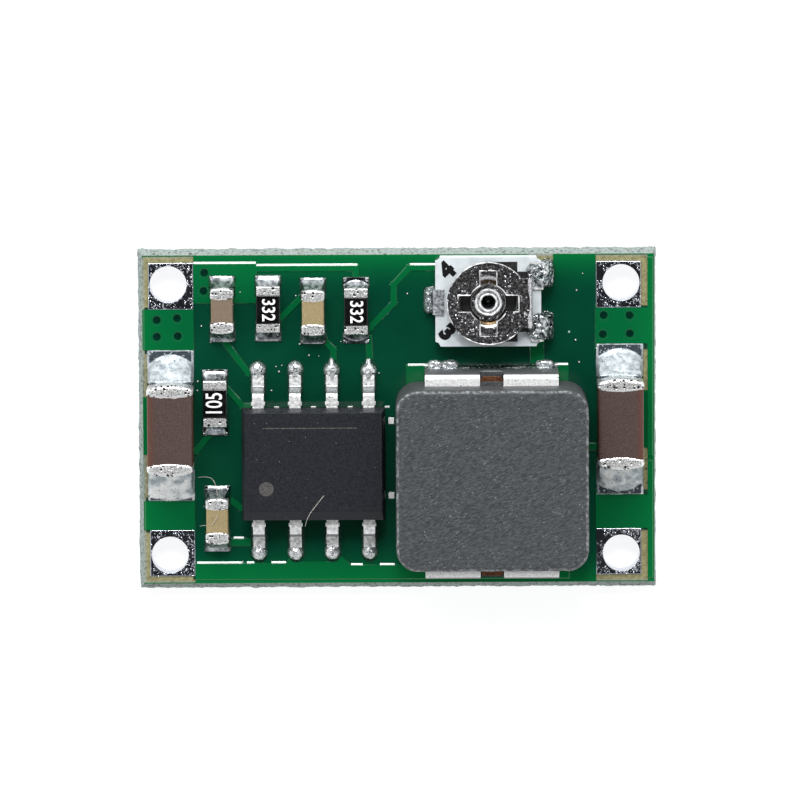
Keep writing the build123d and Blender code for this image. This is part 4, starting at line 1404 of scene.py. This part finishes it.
@dataclass
class Inductor:
    """The moulded inductor: pressed core, folded terminals and their solder."""

    finishes: Finishes
    corner: float = 0.75 * MM
    edge: float = 0.16 * MM
    room: float = 0.015 * MM
    cut: float = 0.94
    tail: float = 1.46
    fillet: float = 0.32 * MM
    fillet_toe: float = 0.1 * MM
    lumps: tuple[tuple[float, float], ...] = ((-0.84, 0.26), (-0.62, 0.3), (0.8, 0.32))

    def build(self) -> None:
        """Builds the core, both terminals and the solder."""
        self.core()
        for side in Side:
            node = "inductor_terminal_" + side.name.lower()
            terminal = Softened(node, "core_terminal_" + side.name.lower(), "bright_tin", width=0.025 * MM)
            terminal.build(self.finishes)
        self.notches()
        self.solder()

    def core(self) -> None:
        """The pressed core, chipped most at its top and side edges."""
        low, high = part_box("inductor_core")
        high = high - Vector((0, 0, self.room))
        shape = Shape().rounded_block(low, high, self.corner, self.edge, 60)
        middle, half = (low + high) / 2, (high - low) / 2

        def rim(point: Vector) -> float:
            """Share of chipping at a point."""
            level = min(1.0, max(0.0, (point.z - high.z + 0.35 * MM) / (0.3 * MM)))
            out = max(abs(point.x - middle.x) - half.x, abs(point.y - middle.y) - half.y) + 0.3 * MM
            return 0.25 + 0.75 * level * min(1.0, max(0.0, out / (0.2 * MM)))

        shape.roughen(0.02 * MM, 0.25 * MM, 2, rim)
        shape.roughen(0.008 * MM, 0.08 * MM, 9)
        shape.finish("pressed_core", self.finishes["powder_core"], "powder_core", ["inductor_core"])

    def notches(self) -> None:
        """What each terminal's notch shows: the coil's tail under a lip of the core, and core below it."""
        tails, lips = Shape(), Shape()
        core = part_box("inductor_core")
        for side in Side:
            low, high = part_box("inductor_terminal_" + side.name.lower())
            centre, sign = (low.x + high.x) / 2, side.value
            face, wall = side.pick(low, high), side.pick(*core) - side.value * 0.06 * MM
            for shape, half_x, outer, inner, bottom, tall, plan in (
                (lips, 0.396, face - sign * 0.012 * MM, face - sign * 0.188 * MM, self.cut, 0.2, 0.01),
                (tails, 0.39, face - sign * 0.12 * MM, wall, self.tail, 0.12, 0.15),
                (lips, 0.394, face - sign * 0.3 * MM, wall, self.tail, 0.15, 0.05),
            ):
                first = Vector((centre - half_x * MM, min(outer, inner), low.z + bottom * MM))
                second = Vector((centre + half_x * MM, max(outer, inner), low.z + (bottom + tall) * MM))
                shape.rounded_block(first, second, plan * MM, 0.008 * MM, 14)
        tails.finish("coil_tails", self.finishes["cut_copper"], "copper")
        lips.finish("core_lips", self.finishes["powder_core"], "powder_core")

    def solder(self) -> None:
        """A low fillet along each terminal, with lumps on it at the rear."""
        fillets, lumps = Shape(), Shape()
        for side in Side:
            self.joint(fillets, side)
        for spot, half in self.lumps:
            self.lump(lumps, spot, half)
        fillets.roughen(0.015 * MM, 0.2 * MM, 4)
        fillets.finish("core_joints", self.finishes["solder"], "solder", ["inductor_solder"])
        lumps.roughen(0.04 * MM, 0.13 * MM, 12)
        lumps.finish("core_lumps", self.finishes["solder_lumpy"], "solder")

    def foot(self, side: Side) -> tuple[float, float, float]:
        """Middle and half length of a terminal's foot in X, and the Y of its face."""
        low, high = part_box("inductor_terminal_" + side.name.lower())
        return (low.x + high.x) / 2, (high.x - low.x) / 2, side.pick(low, high)

    def joint(self, shape: Shape, side: Side) -> None:
        """The fillet along one terminal's foot.

        Args:
            shape: What it joins.
            side: The terminal's side.
        """
        centre, reach, face = self.foot(side)

        def plan(across: float, along: float) -> Vector:
            """Place along the foot."""
            depth = (along * 0.6 + 0.4) * self.fillet_toe
            return Vector((centre + across * reach, face + side.value * depth, 0))

        def rise(across: float, along: float) -> float:
            """Height of the fillet."""
            ends = min(1.0, (1 - abs(across)) / 0.03)
            return self.fillet * ends * max(0.0, 1 - (along + 1) / 2) ** 1.4 + 0.03 * MM

        shape.patch(plan, rise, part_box("inductor_solder")[0].z, 40)

    def lump(self, shape: Shape, spot: float, half: float) -> None:
        """One lump on the rear fillet.

        Args:
            shape: What it joins.
            spot: Its place along the foot, from -1 to 1.
            half: Half its length, in millimetres.
        """
        centre, reach, face = self.foot(Side.REAR)

        def plan(across: float, along: float) -> Vector:
            """Place on the lump's spot, rounded at its corners."""
            squeeze = math.sqrt(1 - 0.4 * min(across**2, along**2))
            depth = (along * squeeze * 0.62 + 0.38) * 0.27 * MM
            return Vector((centre + spot * reach + across * squeeze * half * MM, face + depth, 0))

        def rise(across: float, along: float) -> float:
            """Height of the lump."""
            return 0.17 * MM * math.sqrt(max(0.0, (1 - across**4) * (1 - along**4))) + 0.02 * MM

        shape.patch(plan, rise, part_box("inductor_solder")[0].z, 22)


@dataclass
class Trimmer:
    """The open trimmer: ceramic, film, terminals, collector, rotor, digits and solder."""

    finishes: Finishes
    digits: tuple[tuple[str, float, float, float], ...] = (
        ("4", -1.4, 1.08, 45.0), ("3", -1.42, -1.06, -45.0),
    )
    type_size: float = 0.76 * MM
    stroke: float = 0.055 * MM
    fold_sweep: float = 1.8 * MM
    fold_lift: float = 0.16 * MM
    plate: float = 1.415
    opening: float = 0.68
    slot_x: float = 2.09
    slot_y: float = 2.26
    slot_width: float = 0.58
    corner_steps: int = 6
    rims: tuple[tuple[float, float], ...] = ((0.428, 0.05), (0.292, 0.042))

    def build(self) -> None:
        """Builds every piece of the trimmer."""
        for piece in (
            Softened("trimmer_base", "ceramic_base", "alumina", "alumina"),
            Softened("trimmer_terminal_upper", "end_clip_upper", "lead_tin"),
            Softened("trimmer_terminal_lower", "end_clip_lower", "lead_tin"),
            Softened("trimmer_collector", "eyelet", "eyelet_tin", "trimmer_steel"),
            Softened(
                "trimmer_rotor", "wiper_rotor", "trimmer_steel", "trimmer_steel", 0.034 * MM, 3,
                body=Body.ROTOR,
            ),
        ):
            piece.build(self.finishes)
        low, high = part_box("trimmer_base")
        middle = (low + high) / 2
        self.burrs(middle / MM)
        self.eyelet_rings(middle, high.z)
        self.numbers(Vector((middle.x, middle.y, high.z + 0.004 * MM)))
        self.solder(low, high)

    def burrs(self, middle: Vector) -> None:
        """The stamped edges of the rotor's plate, its outline and its opening with the cross slots, in pale
        tin as a painted highlight.

        Args:
            middle: Middle of the ceramic, in millimetres.
        """
        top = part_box("trimmer_rotor")[1].z / MM - 0.008
        outline = [
            (middle.x + self.plate * math.cos(angle), middle.y + self.plate * math.sin(angle), top)
            for angle in (math.radians(value) for value in range(40, 321, 5))
        ]
        shape = swept("outline", outline, 0.016 * MM)
        opening = []
        half = self.slot_width / 2
        turn = math.asin(half / self.opening)
        for quarter, reach in enumerate((self.slot_x, self.slot_y, self.slot_x, self.slot_y)):
            facing = quarter * math.pi / 2
            corners = [(reach / 2, -half), (reach / 2, half)]
            for step in range(self.corner_steps + 1):
                angle = turn + (math.pi / 2 - 2 * turn) * step / self.corner_steps
                corners.append((self.opening * math.cos(angle), self.opening * math.sin(angle)))
            for x, y in corners:
                opening.append((
                    middle.x + x * math.cos(facing) - y * math.sin(facing),
                    middle.y + x * math.sin(facing) + y * math.cos(facing),
                    top,
                ))
        shape.join(swept("opening", opening, 0.018 * MM, closed=True, order=2).mesh)
        shape.roughen(0.03 * MM, 0.22 * MM, 14)
        # painted highlight: the burrs take a paler tin than the steel plate
        shape.finish("rotor_burrs", self.finishes["lead_tin"], "trimmer_steel", body=Body.ROTOR)

    def eyelet_rings(self, middle: Vector, top: float) -> None:
        """The eyelet's rims in pale tin as a painted highlight, a dark film under the side slots that is
        resistive track and painted shade, and a dark drop in the bore that is flux and painted shade.

        Args:
            middle: Middle of the ceramic.
            top: Level of its upper face.
        """
        rings = Shape()
        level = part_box("trimmer_collector")[1].z - 0.01 * MM
        for radius, rim in self.rims:
            rings.ring(Vector((middle.x, middle.y, level)), radius * MM, rim * MM, rim * MM)
        rings.roughen(0.03 * MM, 0.13 * MM, 6)
        # painted highlight: the rims take a paler tin than the eyelet
        rings.finish("eyelet_rims", self.finishes["bright_tin"], "tin")
        # partly painted shade: the dark film stands for the resistive track and for the shade under the rotor
        film = Shape().ring(Vector((middle.x, middle.y, top + 0.001 * MM)), 0.72 * MM, 0.26 * MM, 0.004 * MM)
        film.finish("under_film", self.finishes["resistive_film"], "resistive_film")

        def rise(across: float, along: float) -> float:
            """Height of the drop."""
            return 0.12 * MM * math.sqrt(max(0.0, 1 - max(abs(across), abs(along)) ** 2))

        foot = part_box("top_solder_mask")[1].z - COPPER
        # partly painted shade: the dark drop stands for a flux drop and for the shade down the bore
        drop = Shape().patch(disc(Vector((middle.x, middle.y, 0)), 0.2 * MM), rise, foot, 12)
        drop.finish("bore_drop", self.finishes["overcoat"], "overcoat")

    def numbers(self, middle: Vector) -> None:
        """Two plain digits printed beside the rotor, where its ends of travel are.

        Args:
            middle: Middle of the ceramic's upper face, where the print lies.
        """
        for text, x, y, turn in self.digits:
            place = Matrix.Translation(middle + Vector((x, y, 0)) * MM)
            place = place @ Matrix.Rotation(math.radians(turn), 4, "Z")
            shape = written("digit_" + text, text, self.type_size, place, 0.01 * MM, self.stroke)
            shape.finish("digit_" + text, self.finishes["ink_black"], "resistive_film")

    def solder(self, low: Vector, high: Vector) -> None:
        """Lumpy solder at the three terminals, kept low where the rotor's fold passes over it.

        Args:
            low: Lowest corner of the ceramic.
            high: Its highest corner.
        """
        middle = (low + high) / 2
        foot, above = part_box("trimmer_solder")[0].z, high.z + 0.05 * MM
        tab, clips = Shape(), Shape()
        self.heap(tab, (low.x - 0.19 * MM, middle.y, foot), (0.2, 0.46, 0.66))
        self.heap(clips, (high.x + 0.22 * MM, middle.y + 0.92 * MM, foot), (0.24, 0.5, 0.84))
        self.heap(clips, (high.x + 0.22 * MM, middle.y - 0.9 * MM, foot), (0.24, 0.5, 0.84))
        self.heap(clips, (high.x - 0.1 * MM, middle.y + 0.94 * MM, above), (0.4, 0.44, 0.3))
        self.heap(clips, (high.x - 0.1 * MM, middle.y - 0.86 * MM, above), (0.38, 0.46, 0.3))
        tab.roughen(0.03 * MM, 0.12 * MM, 8)
        tab.finish("collector_joint", self.finishes["solder_lumpy"], "solder")
        clips.roughen(0.04 * MM, 0.15 * MM, 8)
        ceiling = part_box("trimmer_rotor")[0].z + self.fold_lift
        for vert in clips.mesh.verts:
            if (vert.co.xy - middle.xy).length < self.fold_sweep:
                vert.co.z = min(vert.co.z, ceiling)
        clips.finish("trimmer_joints", self.finishes["solder_heap"], "solder", ["trimmer_solder"])

    def heap(self, shape: Shape, place: Point, size: Point) -> None:
        """One heap of solder with an uneven outline.

        Args:
            shape: What it joins.
            place: Middle of its foot.
            size: Half its length in X and in Y, and its height, in millimetres.
        """
        x, y, base = place
        half_x, half_y, tall = size

        def plan(across: float, along: float) -> Vector:
            """Place on the heap's foot."""
            wobble = 1 + 0.14 * noise.noise(Vector((x / MM + across * 1.3, y / MM + along * 1.3, 4.0)))
            squeeze = math.sqrt(1 - 0.35 * min(across**2, along**2))
            reach = squeeze * wobble * MM
            return Vector((x + across * half_x * reach, y + along * half_y * reach, 0))

        def rise(across: float, along: float) -> float:
            """Height of the heap."""
            round_off = max(0.0, 1 - abs(across) ** 4) ** 0.5 * max(0.0, 1 - abs(along) ** 5) ** 0.5
            spot = Vector((x / MM + across, y / MM + along, 1.5))
            return tall * MM * round_off * (0.72 + 0.42 * noise.noise(spot * 2.6))

        shape.patch(plan, rise, base, 26)


@dataclass
class Fibre:
    """A stray dust fibre that lies across the parts."""

    name: str
    finishes: Finishes
    points: tuple[Point, ...]
    radius: float = 0.011 * MM

    def build(self) -> None:
        """Sweeps a thin round section along the points."""
        shape = swept(self.name, self.points, self.radius)
        shape.finish(self.name, self.finishes["fibre"], "alumina")


@dataclass
class Studio:
    """Pale floor, soft light all round with a dark patch behind the camera, and the camera."""

    aim: Vector = field(default_factory=lambda: Vector((0.17, 0.66, 0.8)) * MM)
    tilt: float = 6.9
    roll: float = -0.27
    distance: float = 0.29
    frame_width: float = 27.6 * MM
    sensor: float = 36.0
    gap: float = 0.05 * MM
    glow: float = 0.84
    lamps: tuple[tuple[str, float, float, Point], ...] = (
        ("key", 0.16, 0.45, (-0.04, 0.2, 0.2)),
        ("spark", 0.04, 0.22, (0.0, 0.172, 0.246)),
    )

    def build(self) -> None:
        """Builds the stage, the light and the camera."""
        self.floor()
        self.sky()
        for name, size, energy, place in self.lamps:
            self.lamp(name, size, energy, place)
        self.camera()

    def toward_camera(self) -> Vector:
        """Unit vector from the board to the camera."""
        tilt = math.radians(self.tilt)
        return Vector((0.0, math.sin(tilt), math.cos(tilt)))

    def floor(self) -> None:
        """A wide pale disc under the board, clear from below so that the underside can be seen."""
        shape = Shape()
        level = Matrix.Translation((0, 0, -self.gap))
        bmesh.ops.create_circle(shape.mesh, cap_ends=True, segments=64, radius=2.0, matrix=level)
        mesh = bpy.data.meshes.new("floor")
        shape.mesh.to_mesh(mesh)
        shape.mesh.free()
        plan = Finish(
            "floor", srgb(132, 134, 136), srgb(138, 140, 142), (0.8, 0.9), specular=0.1, grain=8.0,
            relief=(0.0001, 0.08),
        )
        material = plan.build()
        nodes = material.node_tree.nodes
        shader = nodes["Principled BSDF"]
        canvas = Canvas(material.node_tree)
        canvas.feed(shader.inputs["Emission Color"], (1.0, 1.0, 1.0))
        canvas.feed(shader.inputs["Emission Strength"], self.glow)
        under = canvas.add("ShaderNodeNewGeometry").outputs["Backfacing"]
        clear = canvas.add("ShaderNodeBsdfTransparent").outputs["BSDF"]
        seen = canvas.add("ShaderNodeMixShader", {0: under, 1: shader.outputs["BSDF"], 2: clear})
        canvas.feed(nodes["Material Output"].inputs["Surface"], seen.outputs["Shader"])
        mesh.materials.append(material)
        floor = link(bpy.data.objects.new("floor", mesh))

    def sky(self) -> None:
        """Soft white light from everywhere but a patch round the camera, brighter from the rear."""
        world = bpy.data.worlds.new("studio")
        bpy.context.scene.world = world
        world.use_nodes = True
        world.node_tree.nodes.clear()
        canvas = Canvas(world.node_tree)
        way = canvas.add("ShaderNodeTexCoord").outputs["Generated"]
        ways = {0: way, 1: self.toward_camera()}
        toward = canvas.add("ShaderNodeVectorMath", ways, operation="DOT_PRODUCT").outputs["Value"]
        outer, inner = (math.cos(math.radians(angle)) for angle in (34, 18))
        rear = canvas.add("ShaderNodeSeparateXYZ", {0: way}).outputs["Y"]
        strength = canvas.product(
            canvas.ramp(toward, outer, inner, 1.0, 0.03), canvas.ramp(rear, -0.8, 0.8, 0.65, 1.35),
        )
        light = canvas.add("ShaderNodeBackground", {"Color": (1.0, 1.0, 1.0), "Strength": strength})
        canvas.add("ShaderNodeOutputWorld", {"Surface": light.outputs["Background"]})

    def lamp(self, name: str, size: float, energy: float, place: Point) -> None:
        """One square light that looks at the board.

        Args:
            name: Its name.
            size: Its width.
            energy: Its power, in watts.
            place: Where it hangs.
        """
        data = bpy.data.lights.new(name, "AREA")
        data.size = size
        data.energy = energy
        lamp = link(bpy.data.objects.new(name, data))
        lamp.location = place
        lamp.rotation_euler = (self.aim - lamp.location).to_track_quat("-Z", "Y").to_euler()

    def camera(self) -> None:
        """The camera at the photograph's angle."""
        data = bpy.data.cameras.new("camera")
        data.sensor_width = self.sensor
        data.lens = self.sensor * self.distance / self.frame_width
        data.clip_start = 0.01
        data.clip_end = 10.0
        eye = link(bpy.data.objects.new("camera", data))
        back = self.toward_camera()
        upward = back.cross(Vector((1, 0, 0))).normalized()
        turn = Matrix((upward.cross(back), upward, back)).transposed().to_4x4()
        eye.location = self.aim + back * self.distance
        eye.rotation_euler = (turn @ Matrix.Rotation(math.radians(self.roll), 4, "Z")).to_euler()
        bpy.context.scene.camera = eye
        bpy.context.scene.view_settings.view_transform = "Standard"


def dress_frame(finishes: Finishes) -> None:
    """Gives the frame nodes that still show their finishes.

    Args:
        finishes: The finishes.
    """
    slots = {row["node"]: row["material_slot"] for row in frame["record"]["subparts"]}
    for name, node in frame["nodes"].items():
        finish = {"tin": "lead_tin", "copper": "covered_copper"}.get(slots[name], slots[name])
        for holder in node.material_slots:
            holder.material = finishes[finish]


def capacitors(finishes: Finishes) -> Iterable[Capacitor]:
    """The two large capacitors and the three small ones.

    Args:
        finishes: The finishes.

    Yields:
        Each capacitor.
    """
    for seed, (name, front_arch) in enumerate((("input", 0.3), ("output", 0.85))):
        yield Capacitor(
            name + "_capacitor", finishes, seed * 11.0, toe=1.025 * MM, pad_side=0.01 * MM, climb=0.4,
            fall=1.2, hollow=0.0, arch=1.0, front_arch=front_arch, tips=0.0, unevenness=0.022 * MM,
            solder_finish="solder_dull", ceramic="large_capacitor_ceramic", slot="large_capacitor_ceramic",
            band=0.4 * MM, bow=0.17 * MM, round_end=0.15 * MM, corner=0.13 * MM,
        )
    for seed, (name, ceramic) in enumerate((
        ("soft_start", "small_capacitor_ceramic"), ("compensation", "tan_ceramic"), ("boost", "tan_ceramic"),
    )):
        yield Capacitor(name + "_capacitor", finishes, seed * 7.0 + 2, ceramic=ceramic)


def resistors(finishes: Finishes) -> Iterable[Resistor]:
    """The three small resistors.

    Args:
        finishes: The finishes.

    Yields:
        Each resistor.
    """
    yield Resistor("compensation_resistor", finishes, 4.0, digits="332")
    yield Resistor("feedback_resistor", finishes, 9.0, arch=1.5, digits="332")
    yield Resistor(
        "enable_resistor", finishes, 14.0, arch=0.4, digits="105", turn=90.0, type_size=0.8 * MM, squeeze=0.7,
    )


def fibres(finishes: Finishes) -> Iterable[Fibre]:
    """The three stray fibres.

    Args:
        finishes: The finishes.

    Yields:
        Each fibre.
    """
    for name, points in (
        ("fibre_left", ((-6.82, -2.0, 0.84), (-6.4, -1.9, 1.0), (-6.16, -2.2, 1.5), (-6.14, -2.5, 1.68))),
        ("fibre_low", ((-6.77, -3.7, 0.84), (-6.54, -3.57, 1.4), (-6.3, -3.6, 1.68), (-6.13, -3.2, 1.68))),
        ("fibre_front", (
            (-2.46, -2.45, 2.345), (-2.76, -2.83, 2.37), (-2.98, -3.12, 2.38), (-3.08, -3.38, 2.22),
            (-3.12, -3.6, 1.75),
        )),
    ):
        yield Fibre(name, finishes, points)


def main() -> None:
    """Builds the module's looks and the studio, in order."""
    logging.basicConfig(level=logging.INFO, format="%(message)s")
    finishes = Finishes()
    Studio().build()
    Board(finishes).build()
    for part in (*capacitors(finishes), *resistors(finishes)):
        part.build()
    Controller(finishes).build()
    Inductor(finishes).build()
    Trimmer(finishes).build()
    for fibre in fibres(finishes):
        fibre.build()
    dress_frame(finishes)


if __name__ == "__main__":
    main()
